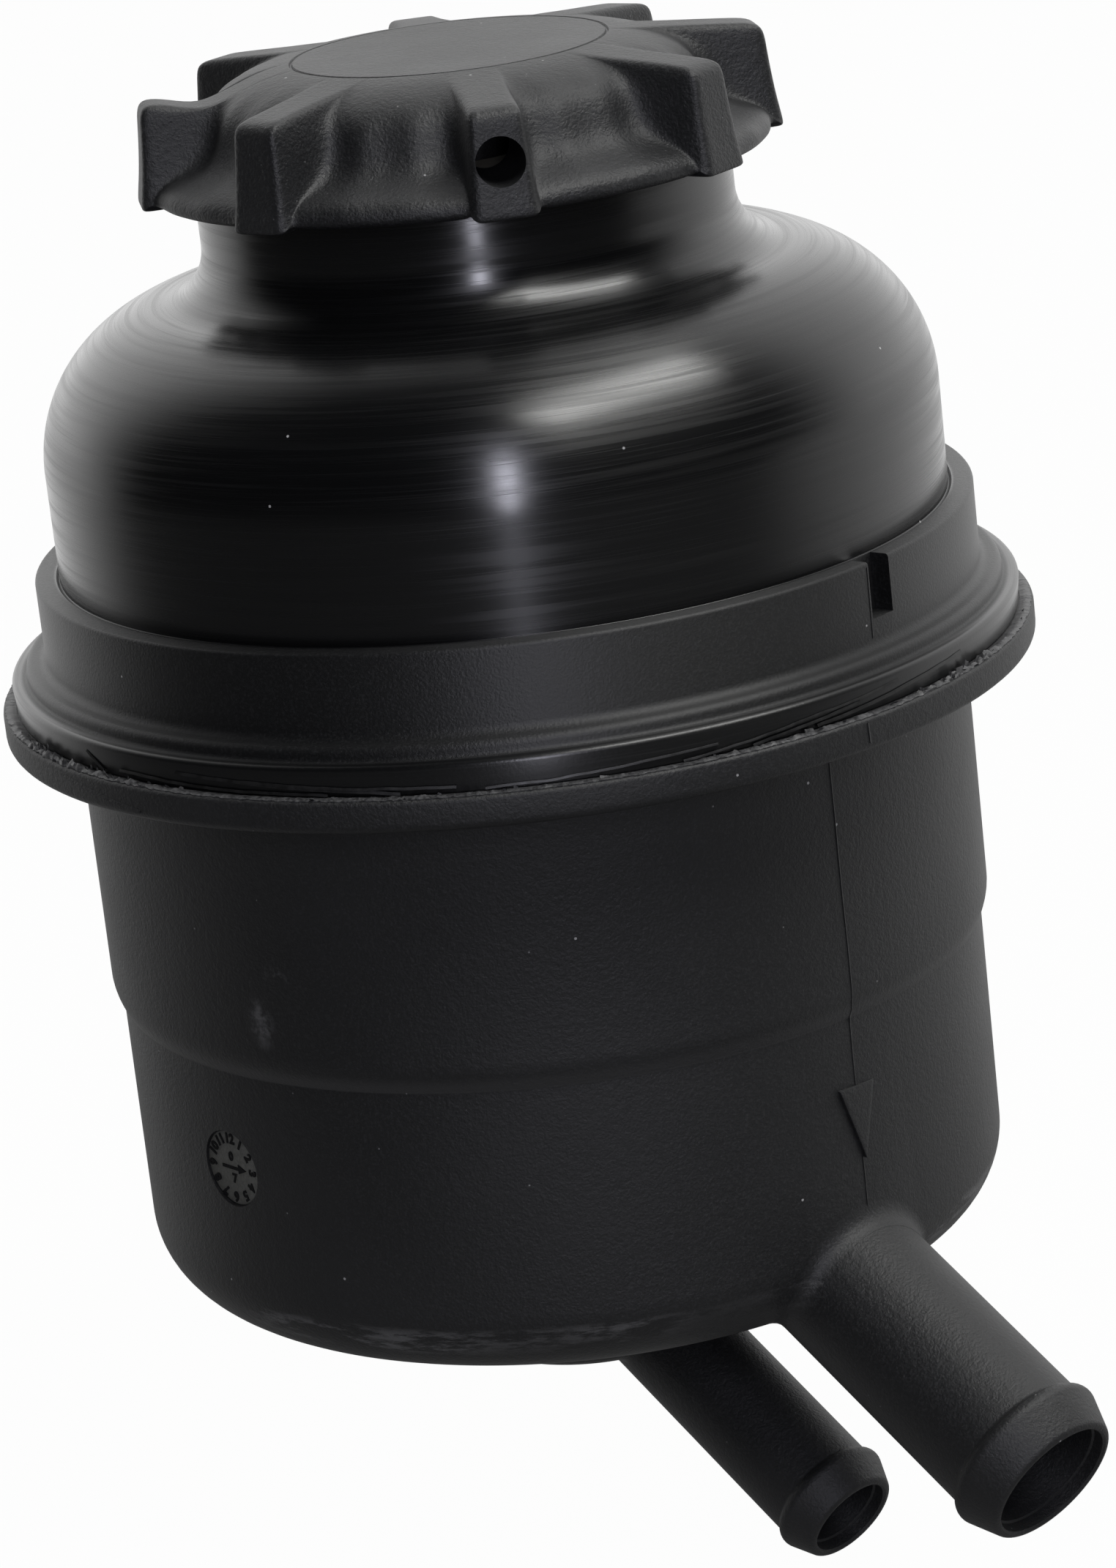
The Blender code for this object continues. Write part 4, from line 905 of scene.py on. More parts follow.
def seam(name, places, width, height):
    """A low ridge along places (azimuth in degrees, r, z), steep on one side and gentle on the other."""
    shape = bmesh.new()
    centres = [radial(math.radians(place[0]), place[1], place[2]) for place in places]
    rows = []
    for index, centre in enumerate(centres):
        along = centres[min(index + 1, len(centres) - 1)] - centres[max(index - 1, 0)]
        out = Vector((centre.x, centre.y, 0.0)).normalized()
        side = along.normalized().cross(out)
        rows.append([shape.verts.new(centre + side * (across * width) + out * (lift * height + more * MM))
                     for across, lift, more in SEAM_SECTION])
    skin(shape, rows)
    shape.faces.new(rows[0])
    shape.faces.new(rows[-1])
    piece = smooth(new_piece(name, shape), 50.0)
    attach(piece, "housing")
    return piece


def straight(first, last, steps):
    """Places in a straight line on the wall between two of them."""
    return [tuple(mix(a, b, step / steps) for a, b in zip(first, last)) for step in range(steps + 1)]


# %% Lay the seams
SEAM_AZIMUTH = -51.2
SEAM_TOP_Z = -0.6 * MM
SEAM_STEP = 0.8 * MM
# How far a seam wanders to the side, how quickly, and its jog at the cup's step, in degrees
SEAM_WANDER = 0.1
SEAM_WANDER_SCALE = 160.0
SEAM_JOG = 0.18
CUP_SEAM_WIDTH = 0.24 * MM
CUP_SEAM_HEIGHT = 0.085 * MM
FRONT_SEAM_END_Z = -50.2 * MM
BACK_SEAM_END_Z = -51.6 * MM
# The straight seams: name, both ends as (azimuth in degrees, r, z), steps, width and height
STRAIGHT_SEAMS = [
    ("rim_seam_right", (-52.4, RIM_RADIUS, 2.9 * MM), (-52.3, RIM_RADIUS, 0.9 * MM),
     24, 0.3 * MM, 0.09 * MM),
    ("rim_seam_left", (-152.0, RIM_RADIUS, 2.9 * MM), (-135.6, RIM_RADIUS, 0.95 * MM),
     60, 0.34 * MM, 0.12 * MM),
    ("band_seam", (-44.5, BAND_RADIUS, 15.8 * MM), (-44.6, BAND_RADIUS, 8.8 * MM),
     24, 0.24 * MM, 0.07 * MM),
]


def cup_seam(name, azimuth, low_z):
    places = []
    z = SEAM_TOP_Z
    while z > low_z:
        wander = SEAM_WANDER * noise.noise(Vector((azimuth, 0.0, z * SEAM_WANDER_SCALE)))
        jog = SEAM_JOG if z < cup_step_low_z + 0.5 * CUP_STEP_HEIGHT else 0.0
        places.append((azimuth + wander + jog, cup_wall_radius(z), z))
        z -= SEAM_STEP
    return seam(name, places, CUP_SEAM_WIDTH, CUP_SEAM_HEIGHT)


seams = [
    cup_seam("cup_seam_front", SEAM_AZIMUTH, FRONT_SEAM_END_Z),
    cup_seam("cup_seam_back", SEAM_AZIMUTH + 180.0, BACK_SEAM_END_Z),
]
for name, start, end, steps, width, height in STRAIGHT_SEAMS:
    seams.append(seam(name, straight(start, end, steps), width, height))

# %% [markdown]
# ## The raised arrowhead
# A three-cornered pad above the nipple points down along the seam. It stands up at its left edge and is
# almost level with the wall at its right, as a pad cut into only one half of the mould would be. It is a net
# of points on the wall, lifted by a height that is mixed from the three corners.

# %% Build the arrowhead
# Each corner: azimuth in degrees, height, and how far it stands out
ARROW_CORNERS = [
    (-54.2, -35.7 * MM, 0.44 * MM), (-47.9, -35.9 * MM, 0.08 * MM), (-50.8, -43.5 * MM, 0.40 * MM),
]
ARROW_STEPS = 10
ARROW_SINK = 0.6 * MM
ARROW_ROUND = 0.09 * MM


def arrowhead():
    shape = bmesh.new()
    net = {}
    for i in range(ARROW_STEPS + 1):
        for j in range(ARROW_STEPS + 1 - i):
            shares = (i / ARROW_STEPS, j / ARROW_STEPS, 1.0 - (i + j) / ARROW_STEPS)
            azimuth, z, height = (
                sum(part * corner[k] for part, corner in zip(shares, ARROW_CORNERS)) for k in range(3))
            net[i, j] = shape.verts.new(radial(math.radians(azimuth), cup_wall_radius(z) + height, z))
    for i in range(ARROW_STEPS):
        for j in range(ARROW_STEPS - i):
            shape.faces.new((net[i, j], net[i + 1, j], net[i, j + 1]))
            if i + j < ARROW_STEPS - 1:
                shape.faces.new((net[i + 1, j], net[i + 1, j + 1], net[i, j + 1]))
    border = [edge for edge in shape.edges if edge.is_boundary]
    walls = bmesh.ops.extrude_edge_only(shape, edges=border)["geom"]
    for vertex in (item for item in walls if isinstance(item, bmesh.types.BMVert)):
        flat = Vector((vertex.co.x, vertex.co.y, 0.0))
        vertex.co -= flat.normalized() * (flat.length - CUP_LOWER_RADIUS + ARROW_SINK)
    bmesh.ops.contextual_create(shape, geom=[edge for edge in shape.edges if edge.is_boundary])
    piece = new_piece("seam_arrowhead", shape)
    rounding = piece.modifiers.new("Round", "BEVEL")
    rounding.width = ARROW_ROUND
    rounding.segments = 2
    rounding.angle_limit = math.radians(50.0)
    return smooth(settle(piece), 40.0)


arrow = arrowhead()
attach(arrow, "housing")

# %% [markdown]
# ## The date dial
# The dial's insert left a round field with the months round its edge, and an arrow with the year's digits in
# the middle. The field was blasted, so it is paler than the wall, and the raised marks are smooth and dark.
# The marks are plain numbers in the built-in font, turned into meshes.

# %% Turn text into raised marks
MARK_RELIEF = 0.12 * MM
MARK_BOLDNESS = 0.045


def lettering(shape, text, size, place):
    """Add raised characters to a bmesh. Their local +Z is the way they stand out."""
    curve = bpy.data.curves.new("lettering", "FONT")
    curve.body = text
    curve.size = size
    curve.extrude = MARK_RELIEF / 2
    curve.offset = MARK_BOLDNESS * size
    curve.align_x = "CENTER"
    curve.align_y = "CENTER"
    curve.resolution_u = 3
    item = bpy.data.objects.new("lettering", curve)
    bpy.context.scene.collection.objects.link(item)
    mesh = bpy.data.meshes.new_from_object(item.evaluated_get(bpy.context.evaluated_depsgraph_get()))
    mesh.transform(place)
    shape.from_mesh(mesh)
    bpy.data.objects.remove(item, do_unlink=True)
    bpy.data.curves.remove(curve)


# %% Make the dial's field
DIAL_FIELD_Z = 0.1 * MM
DIAL_FIELD_BOTTOM_Z = -0.2 * MM
DIAL_FIELD_RADIUS = DIAL_RADIUS - 0.1 * MM
DIAL_FIELD_FLAT = DIAL_RADIUS - 0.25 * MM
dial_field = spun("dial_field", [
    (0.0, DIAL_FIELD_Z), (DIAL_FIELD_FLAT, DIAL_FIELD_Z), (DIAL_FIELD_RADIUS, 0.0),
    (DIAL_FIELD_RADIUS, DIAL_FIELD_BOTTOM_Z), (0.0, DIAL_FIELD_BOTTOM_Z)], DIAL_TURN)
dial_field.data.transform(dial_place)
smooth(dial_field)
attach(dial_field, "housing")

# %% Make the dial's marks
MONTH_RADIUS = 3.05 * MM
MONTH_SIZE = 1.45 * MM
MARK_Z = 0.12 * MM
YEAR_SIZE = 1.3 * MM
# The year's digits: (digit, x, y)
YEAR_DIGITS = [("0", -0.1 * MM, 1.15 * MM), ("7", 0.1 * MM, -1.15 * MM)]
POINTER = [(-1.6, -0.16), (0.9, -0.16), (0.9, -0.5), (2.1, 0.0), (0.9, 0.5), (0.9, 0.16), (-1.6, 0.16)]
POINTER_LOW_Z = 0.05 * MM
POINTER_HIGH_Z = 0.2 * MM
marks = bmesh.new()
for month in range(1, 13):
    turned = Matrix.Rotation(-math.tau * month / 12, 4, "Z")
    lettering(marks, str(month), MONTH_SIZE, turned @ Matrix.Translation((0.0, MONTH_RADIUS, MARK_Z)))
for digit, digit_x, digit_y in YEAR_DIGITS:
    lettering(marks, digit, YEAR_SIZE, Matrix.Translation((digit_x, digit_y, MARK_Z)))
pointer_low = [marks.verts.new((x * MM, y * MM, POINTER_LOW_Z)) for x, y in POINTER]
pointer_high = [marks.verts.new((x * MM, y * MM, POINTER_HIGH_Z)) for x, y in POINTER]
skin(marks, [pointer_low, pointer_high])
marks.faces.new(pointer_low)
marks.faces.new(pointer_high)
dial_marks = new_piece("dial_marks", marks)
dial_marks.data.transform(dial_place)
smooth(dial_marks)
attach(dial_marks, "housing")

# %% [markdown]
# ## The weld's flash
# Cup and shell were spun against each other until they melted together. What was squeezed out froze as a
# ragged lip between rim and flange, torn into shards at two places. The lip is a ring whose cross-section is
# pushed about by noise, more so where the weld is torn. Shards and drawn-out folds are added to it by a
# seeded random choice.

# %% Where the weld is torn, and the noise round it
# Each torn place: azimuth, width in degrees, and strength
TORN_PLACES = [
    (-35.0, 9.0, 1.0), (-154.0, 8.0, 1.0), (-139.0, 10.0, 0.5), (-98.0, 16.0, 0.16),
    (-62.0, 9.0, 0.3), (35.0, 16.0, 0.5), (118.0, 14.0, 0.7),
]
LEAST_TEAR = 0.1
CHANNEL_GAP = 7.3


def torn(azimuth):
    """How torn the flash is at an azimuth in degrees: LEAST_TEAR where it is neat, and up to 1."""
    total = LEAST_TEAR
    for centre, width, strength in TORN_PLACES:
        away = (azimuth - centre + 180.0) % 360.0 - 180.0
        total += strength * math.exp(-(away / width) ** 2)
    return min(total, 1.0)


def wobble(azimuth, channel, detail):
    """Smooth noise round the ring, from -1 to 1. Each channel gives another noise."""
    angle = math.radians(azimuth)
    spot = Vector((math.cos(angle) * detail, math.sin(angle) * detail, CHANNEL_GAP * channel))
    return max(-1.0, min(1.0, 1.6 * noise.noise(spot) + 0.7 * noise.noise(spot * 3.1)))


print("torn most at", max(range(0, 360, 5), key=torn), "degrees")

# %% The lip's sizes
LIP_MIDDLE = 0.5 * (DISC_RADIUS + RIM_RADIUS)
LIP_BURIED = 0.3 * MM
# Its crest, lean, outer edge and foot: the size where the weld is neat, what a tear adds, and the ripple
CREST_HEIGHT = 0.16 * MM
CREST_TORN = 0.62 * MM
CREST_RIPPLE = 0.05 * MM
LEAN_WAVE = 0.1 * MM
LEAN_TORN = 0.2 * MM
EDGE_INSET = 0.24 * MM
EDGE_WAVE = 0.1 * MM
EDGE_TORN = 0.22 * MM
FOOT_HEIGHT = 0.05 * MM
FOOT_WAVE = 0.05 * MM
SHOULDER_SHARE = 0.55
SHOULDER_WAVE = 0.04 * MM
SHOULDER_OUT = 0.22 * MM
LIP_STEP = 0.1 * MM
# The channel and the fineness of each part's noise
CREST_NOISE = (1, 34.0)
RIPPLE_NOISE = (2, 110.0)
LEAN_NOISE = (3, 46.0)
EDGE_NOISE = (4, 95.0)
TORN_EDGE_NOISE = (5, 70.0)
SHOULDER_NOISE = (6, 150.0)
FOOT_NOISE = (7, 120.0)
print("the lip lies between radius %.1f and %.1f mm" % (DISC_RADIUS / MM, RIM_RADIUS / MM))


# %% The lip's cross-section
def weld_section(azimuth):
    """Points (r, z) from the flange, over the crest and down to the rim."""
    tear = torn(azimuth)
    crest = CREST_HEIGHT + CREST_TORN * tear * abs(wobble(azimuth, *CREST_NOISE))
    crest += CREST_RIPPLE * wobble(azimuth, *RIPPLE_NOISE)
    lean = (LEAN_WAVE + LEAN_TORN * tear) * wobble(azimuth, *LEAN_NOISE)
    inset = EDGE_INSET + EDGE_WAVE * wobble(azimuth, *EDGE_NOISE)
    inset += EDGE_TORN * tear * abs(wobble(azimuth, *TORN_EDGE_NOISE))
    edge_r = RIM_RADIUS - inset
    shoulder_z = RIM_HEIGHT + SHOULDER_SHARE * crest
    ripple = SHOULDER_WAVE * wobble(azimuth, *SHOULDER_NOISE)
    return [
        (DISC_RADIUS - LIP_BURIED, RIM_HEIGHT - LIP_BURIED),
        (DISC_RADIUS - LIP_STEP, RIM_HEIGHT + 0.3 * crest),
        (DISC_RADIUS + SHOULDER_OUT + lean * 0.5, shoulder_z),
        (LIP_MIDDLE - LIP_STEP + lean, RIM_HEIGHT + crest),
        (LIP_MIDDLE + SHOULDER_OUT + lean * 0.6, shoulder_z + ripple),
        (edge_r, RIM_HEIGHT + FOOT_HEIGHT + FOOT_WAVE * wobble(azimuth, *FOOT_NOISE)),
        (edge_r - LIP_STEP, RIM_HEIGHT - LIP_BURIED),
    ]


WELD_STEPS = 1440
flash = bmesh.new()
flash_columns = []
for step in range(WELD_STEPS):
    azimuth = 360.0 * step / WELD_STEPS
    section = weld_section(azimuth)
    flash_columns.append([flash.verts.new(radial(math.radians(azimuth), r, z)) for r, z in section])
flash_rows = [[column[row] for column in flash_columns] for row in range(len(flash_columns[0]))]
skin(flash, flash_rows, closed=True)
print("the lip stands out to %.2f mm" % (max(vert.co.xy.length for vert in flash.verts) / MM))

# %% The shape of a shard
SHARD_COUNT = 150
SHARD_SEED = 11
SHARD_FOOT_Z = RIM_HEIGHT + 0.02 * MM
SHARD_INNER_RADIUS = DISC_RADIUS + 0.15 * MM
SHARD_OUTER_RADIUS = RIM_RADIUS - 0.45 * MM
dice = random.Random(SHARD_SEED)


def add_shard(azimuth, tear):
    """A thin splinter that stands on the rim: four corners at its foot and two at its tip."""
    half = math.radians(dice.uniform(0.15, 0.6))
    middle = math.radians(azimuth)
    tall = dice.uniform(0.25, 0.95) * (0.35 + 0.65 * tear) * MM
    base_r = mix(SHARD_INNER_RADIUS, SHARD_OUTER_RADIUS, dice.random())
    tip_r = base_r + dice.uniform(-0.25, 0.35) * MM
    left_tip = middle + half * dice.uniform(-1.3, 0.2)
    right_tip = middle + half * dice.uniform(0.3, 1.2)
    right_tall = tall * dice.uniform(0.55, 1.0)
    foot = [
        radial(middle - half, base_r, SHARD_FOOT_Z),
        radial(middle + half, base_r + 0.05 * MM, SHARD_FOOT_Z),
        radial(middle + 0.7 * half, base_r - 0.17 * MM, SHARD_FOOT_Z),
        radial(middle - 0.7 * half, base_r - 0.14 * MM, SHARD_FOOT_Z),
    ]
    tip = [
        radial(left_tip, tip_r, SHARD_FOOT_Z + tall),
        radial(right_tip, tip_r + 0.04 * MM, SHARD_FOOT_Z + right_tall),
    ]
    low = [flash.verts.new(corner) for corner in foot]
    high = [flash.verts.new(corner) for corner in tip]
    flash.faces.new(low)
    flash.faces.new((low[0], low[1], high[1], high[0]))
    flash.faces.new((low[3], high[0], high[1], low[2]))
    flash.faces.new((low[1], low[2], high[1]))
    flash.faces.new((low[3], low[0], high[0]))


# %% Scatter the shards and finish the flash
shard_count = 0
while shard_count < SHARD_COUNT:
    shard_azimuth = dice.uniform(0.0, 360.0)
    shard_tear = torn(shard_azimuth)
    if dice.random() <= shard_tear ** 1.5:
        add_shard(shard_azimuth, shard_tear)
        shard_count += 1
weld_flash = smooth(new_piece("weld_flash", flash), 38.0)
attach(weld_flash, "housing")

# %% Draw the folds out over the flange's edge
# Each fold: azimuth and height of its start, azimuth and height of its end, in degrees and mm
FOLDS = [
    (-74.0, 3.6, -46.0, 5.5), (-66.0, 3.6, -52.0, 4.7), (-58.0, 3.7, -34.0, 5.2),
    (-95.0, 3.6, -70.0, 4.5), (-140.0, 4.2, -112.0, 3.6), (-131.0, 5.0, -104.0, 3.7),
    (-146.0, 5.3, -143.0, 3.8), (-124.0, 4.7, -98.0, 4.0), (20.0, 3.6, 44.0, 5.2),
    (70.0, 5.0, 98.0, 3.6), (140.0, 3.7, 166.0, 5.1),
]
FOLD_STEPS = 60
FOLD_WAVE = 0.1 * MM
FOLD_WAVE_DETAIL = 9.0
FOLD_FIRST_CHANNEL = 20
FOLD_HEIGHT = 0.07 * MM
folds = []
for index, (start_azimuth, start_z, end_azimuth, end_z) in enumerate(FOLDS):
    line = straight(
        (start_azimuth, DISC_RADIUS, start_z * MM), (end_azimuth, DISC_RADIUS, end_z * MM), FOLD_STEPS)
    channel = FOLD_FIRST_CHANNEL + index
    waved = [(a, r, z + FOLD_WAVE * wobble(a, channel, FOLD_WAVE_DETAIL)) for a, r, z in line]
    folds.append(seam("weld_fold_%d" % (index + 1), waved, (0.26 + 0.05 * (index % 3)) * MM, FOLD_HEIGHT))

# %% [markdown]
# ## The camera
# The lens and the place were solved from the circles of the object in the photograph. The camera looks down
# a little and leans to one side, which is why the vessel seems to lean in the picture.

# %% Place the camera
PHOTO_HEIGHT = 2142
FOCAL_PIXELS = 7329.9
SENSOR = 36.0
CAMERA_PLACE = Vector((0.0, -0.52757, 0.14808))
PAN = 0.00474
TILT = 0.29504
ROLL = -0.11339

forward = Vector((math.sin(PAN) * math.cos(TILT), math.cos(PAN) * math.cos(TILT), -math.sin(TILT)))
sideways = Vector((math.cos(PAN), -math.sin(PAN), 0.0))
upright = sideways.cross(forward)
right = sideways * math.cos(ROLL) + upright * math.sin(ROLL)
up = upright * math.cos(ROLL) - sideways * math.sin(ROLL)
camera_data = bpy.data.cameras.new("photo_camera")
camera_data.sensor_width = SENSOR
camera_data.lens = FOCAL_PIXELS * SENSOR / PHOTO_HEIGHT
camera = bpy.data.objects.new("photo_camera", camera_data)
bpy.context.scene.collection.objects.link(camera)
camera.matrix_world = Matrix.Translation(CAMERA_PLACE) @ Matrix((right, up, -forward)).transposed().to_4x4()
bpy.context.scene.camera = camera
print("lens %.1f mm, camera %.0f mm from the axis" % (camera_data.lens, CAMERA_PLACE.xy.length / MM))


# %% [markdown]
# ## Shader maths as plain expressions
# Node trees are hard to read as code. A small class holds a node's output and turns +, -, * and / into Math
# nodes, so a mask is written as a formula. All other nodes come from one method of the finish.

# %% A wire that does maths
class Wire:
    """One output of a node. Expressions on wires add Math nodes to the same tree."""

    def __init__(self, socket):
        self.socket = socket
        self.tree = socket.id_data

    def maths(self, operation, *values):
        node = self.tree.nodes.new("ShaderNodeMath")
        node.operation = operation
        for index, value in enumerate(values):
            feed(node.inputs[index], value)
        return Wire(node.outputs[0])

    def __add__(self, other):
        return self.maths("ADD", self, other)

    __radd__ = __add__

    def __sub__(self, other):
        return self.maths("SUBTRACT", self, other)

    def __rsub__(self, other):
        return self.maths("SUBTRACT", other, self)

    def __mul__(self, other):
        return self.maths("MULTIPLY", self, other)

    __rmul__ = __mul__

    def __truediv__(self, other):
        return self.maths("DIVIDE", self, other)

    def __rtruediv__(self, other):
        return self.maths("DIVIDE", other, self)

    def __gt__(self, other):
        return self.maths("GREATER_THAN", self, other)

    def __lt__(self, other):
        return self.maths("LESS_THAN", self, other)


def feed(socket, value):
    """Link a wire into a socket, or set the socket's own value."""
    if isinstance(value, Wire):
        value.tree.links.new(value.socket, socket)
    else:
        socket.default_value = value


# %% A finish under construction
class Finish:
    """The node tree of a material or of the world."""

    def __init__(self, tree):
        self.tree = tree
        tree.nodes.clear()

    def node(self, kind, settings=None, sockets=None, output=0):
        """Add any node: its settings are set first, then its sockets. Returns the wire of one output."""
        node = self.tree.nodes.new(kind)
        for name, value in (settings or {}).items():
            setattr(node, name, value)
        for name, value in (sockets or {}).items():
            feed(node.inputs[name], value)
        return Wire(node.outputs[output]) if len(node.outputs) else None

    def place(self):
        """Where a point of the surface is, in metres, in the object's own frame."""
        return self.node("ShaderNodeTexCoord", output="Object")

    def parts(self, vector):
        """The x, y and z of a vector."""
        split = self.node("ShaderNodeSeparateXYZ", {}, {"Vector": vector})
        return [Wire(socket) for socket in split.socket.node.outputs]

    def vector(self, x, y, z):
        return self.node("ShaderNodeCombineXYZ", {}, {"X": x, "Y": y, "Z": z})

    def length(self, vector):
        return self.node("ShaderNodeVectorMath", {"operation": "LENGTH"}, {0: vector}, output="Value")

    def stretch(self, vector, scale):
        return self.node("ShaderNodeVectorMath", {"operation": "MULTIPLY"}, {0: vector, 1: scale})

    def speckle(self, vector, scale, detail=2.0, rough=0.5):
        """Soft noise from 0 to 1."""
        return self.node("ShaderNodeTexNoise", {}, {
            "Vector": vector, "Scale": scale, "Detail": detail, "Roughness": rough})

    def ramp(self, value, low, high):
        """0 below low, 1 above high, smooth between. Low may be above high, which turns it round."""
        return self.node("ShaderNodeMapRange", {"interpolation_type": "SMOOTHSTEP"}, {
            "Value": value, "From Min": low, "From Max": high})

    def blend(self, share, first, second):
        """Mix two colours."""
        return self.node("ShaderNodeMix", {"data_type": "RGBA"}, {0: share, 6: first, 7: second}, output=2)

    def bump(self, height, strength, distance):
        return self.node("ShaderNodeBump", {}, {"Height": height, "Strength": strength, "Distance": distance})

    def surface(self, sockets):
        shader = self.node("ShaderNodeBsdfPrincipled", {}, sockets)
        self.node("ShaderNodeOutputMaterial", {}, {"Surface": shader})


# %% Start a finish, and mix a grey
def new_finish(name):
    material = bpy.data.materials.new(name)
    material.use_nodes = True
    return material, Finish(material.node_tree)


def grey(value, blue=0.0):
    """A grey colour. Blue makes it a little colder: 1.0 adds 4 percent of green and 14 percent of blue."""
    return (value, value * (1 + 0.04 * blue), value * (1 + 0.14 * blue), 1.0)


# %% [markdown]
# ## Finish: grained nylon
# The cup and the cap came from a spark-eroded mould, which prints a fine, even grain. Up close it is dark,
# with a few pale specks of dust and faint cloudy tones. The grain is bump from two sizes of noise. Specks
# are the middles of scattered cells, so they are round and rare. The scales are in features per metre.

# %% Specks, rub marks and grain
GRAIN_SCALE = 3600.0
SCUFF_SCALE = 320.0
DUST_TONE = grey(0.42)


def dust(finish, place, scale, size, share):
    """A few small round specks: 1 on a speck, 0 elsewhere."""
    cells = finish.node("ShaderNodeTexVoronoi", {}, {"Vector": place, "Scale": scale}, output="Distance")
    chosen = finish.parts(Wire(cells.socket.node.outputs["Color"]))[0]
    return finish.ramp(cells, size, size * 0.55) * (chosen > 1.0 - share)


def scuff(finish, place, centre, reach):
    """A broken rub mark: noise that fades out from a centre. Reach gives its size along x, y and z."""
    away = finish.node("ShaderNodeVectorMath", {"operation": "SUBTRACT"}, {0: place, 1: centre})
    near = finish.node("ShaderNodeVectorMath", {"operation": "DIVIDE"}, {0: away, 1: reach})
    return finish.ramp(finish.length(near), 1.0, 0.2) * finish.ramp(
        finish.speckle(place, SCUFF_SCALE, 4.0, 0.7), 0.46, 0.66)


def grained(finish, place, scale, tone, peak):
    """Fine grain: its noise, and the tone with paler peaks."""
    grain = finish.speckle(place, scale, 3.0, 0.6)
    return grain, finish.blend(finish.ramp(grain, 0.45, 0.75) * 0.6, tone, peak)


# %% Where the cup is rubbed pale
# Two smudges on the cup's left: azimuth, height, and reach along x, y and z
SMUDGES = [
    (-126.3, -17.5 * MM, (1.8 * MM, 1.8 * MM, 2.2 * MM)),
    (-129.5, -22.2 * MM, (2.0 * MM, 2.0 * MM, 3.5 * MM)),
]
# The bottom edge's rubbed band: the heights between which it comes and goes, and its greatest radius
RUB_TOP = (-53.2 * MM, -54.6 * MM)
RUB_LOW = (-57.2 * MM, -55.8 * MM)
RUB_RADIUS = 45.5 * MM
RUB_PATCH_SCALE = 34.0
RUB_STREAK_SCALE = 130.0


def cup_rubs(finish, place, radius, z):
    """The bottom edge is rubbed only here and there, where the vessel was set down."""
    low_edge = finish.ramp(z, *RUB_TOP) * finish.ramp(z, *RUB_LOW) * (radius < RUB_RADIUS)
    set_down = finish.ramp(finish.speckle(place, RUB_PATCH_SCALE, 1.0), 0.30, 0.50)
    drawn = finish.stretch(place, (1.0, 1.0, 5.0))
    streaks = finish.ramp(finish.speckle(drawn, RUB_STREAK_SCALE, 5.0, 0.75), 0.47, 0.60)
    rubbed = streaks * low_edge * set_down
    for azimuth, height, reach in SMUDGES:
        centre = radial(math.radians(azimuth), CUP_UPPER_RADIUS, height)
        rubbed = rubbed + scuff(finish, place, centre, reach)
    return rubbed


# %% The cup's finish
# The heights between which the painted highlight at the foot of the step comes and goes
STEP_HIGHLIGHT_TOP = (-26.8 * MM, -28.4 * MM)
STEP_HIGHLIGHT_LOW = (-28.9 * MM, -28.7 * MM)
STEP_HIGHLIGHT_TONE = grey(0.034)
RUBBED_TONE = grey(0.16)
# The cup's cloudy tone goes from dark to light, and the grain's peaks are paler still
CUP_TONES = (grey(0.0050, 1.0), grey(0.0085, 0.6))
CUP_PEAK_TONE = grey(0.022, 0.4)
CUP_CLOUD_SCALE = 38.0
CUP_PIT_SCALE = 1500.0


def cup_finish():
    material, finish = new_finish("cup_nylon_grained")
    place = finish.place()
    x, y, z = finish.parts(place)
    radius = finish.length(finish.vector(x, y, 0.0))
    clouds = finish.speckle(place, CUP_CLOUD_SCALE, 3.0)
    pits = finish.speckle(place, CUP_PIT_SCALE, 2.0)
    specks = dust(finish, place, 420.0, 0.075, 0.05) + dust(finish, place, 900.0, 0.1, 0.02) * 0.5
    tone = finish.blend(finish.ramp(clouds, 0.35, 0.7), *CUP_TONES)
    grain, tone = grained(finish, place, GRAIN_SCALE, tone, CUP_PEAK_TONE)
    # A painted highlight: the foot of the step is made a little paler, standing in for the light the step
    # catches
    step_foot_highlight = finish.ramp(z, *STEP_HIGHLIGHT_TOP) * finish.ramp(z, *STEP_HIGHLIGHT_LOW)
    tone = finish.blend(step_foot_highlight * 0.8, tone, STEP_HIGHLIGHT_TONE)
    tone = finish.blend(cup_rubs(finish, place, radius, z) * 0.6, tone, RUBBED_TONE)
    tone = finish.blend(specks * 0.8, tone, DUST_TONE)
    rough = finish.ramp(clouds, 0.3, 0.75) * 0.07 + 0.47 + grain * 0.14
    finish.surface({
        "Base Color": tone, "Roughness": rough, "Specular IOR Level": 0.5,
        "Normal": finish.bump(grain + 0.8 * pits, 0.8, 0.09 * MM)})
    return material


cup_nylon = cup_finish()
print("the cup's finish has", len(cup_nylon.node_tree.nodes), "nodes")


# %% The cap's finish
CAP_TONES = (grey(0.0055, 1.2), grey(0.0085, 0.9))
CAP_PEAK_TONE = grey(0.021, 0.9)
CAP_GLINT_TONE = grey(0.2)
CAP_DUST_TONE = grey(0.4)
CAP_CLOUD_SCALE = 55.0
CAP_GRAIN_SCALE = 3400.0
CAP_PIT_SCALE = 1400.0


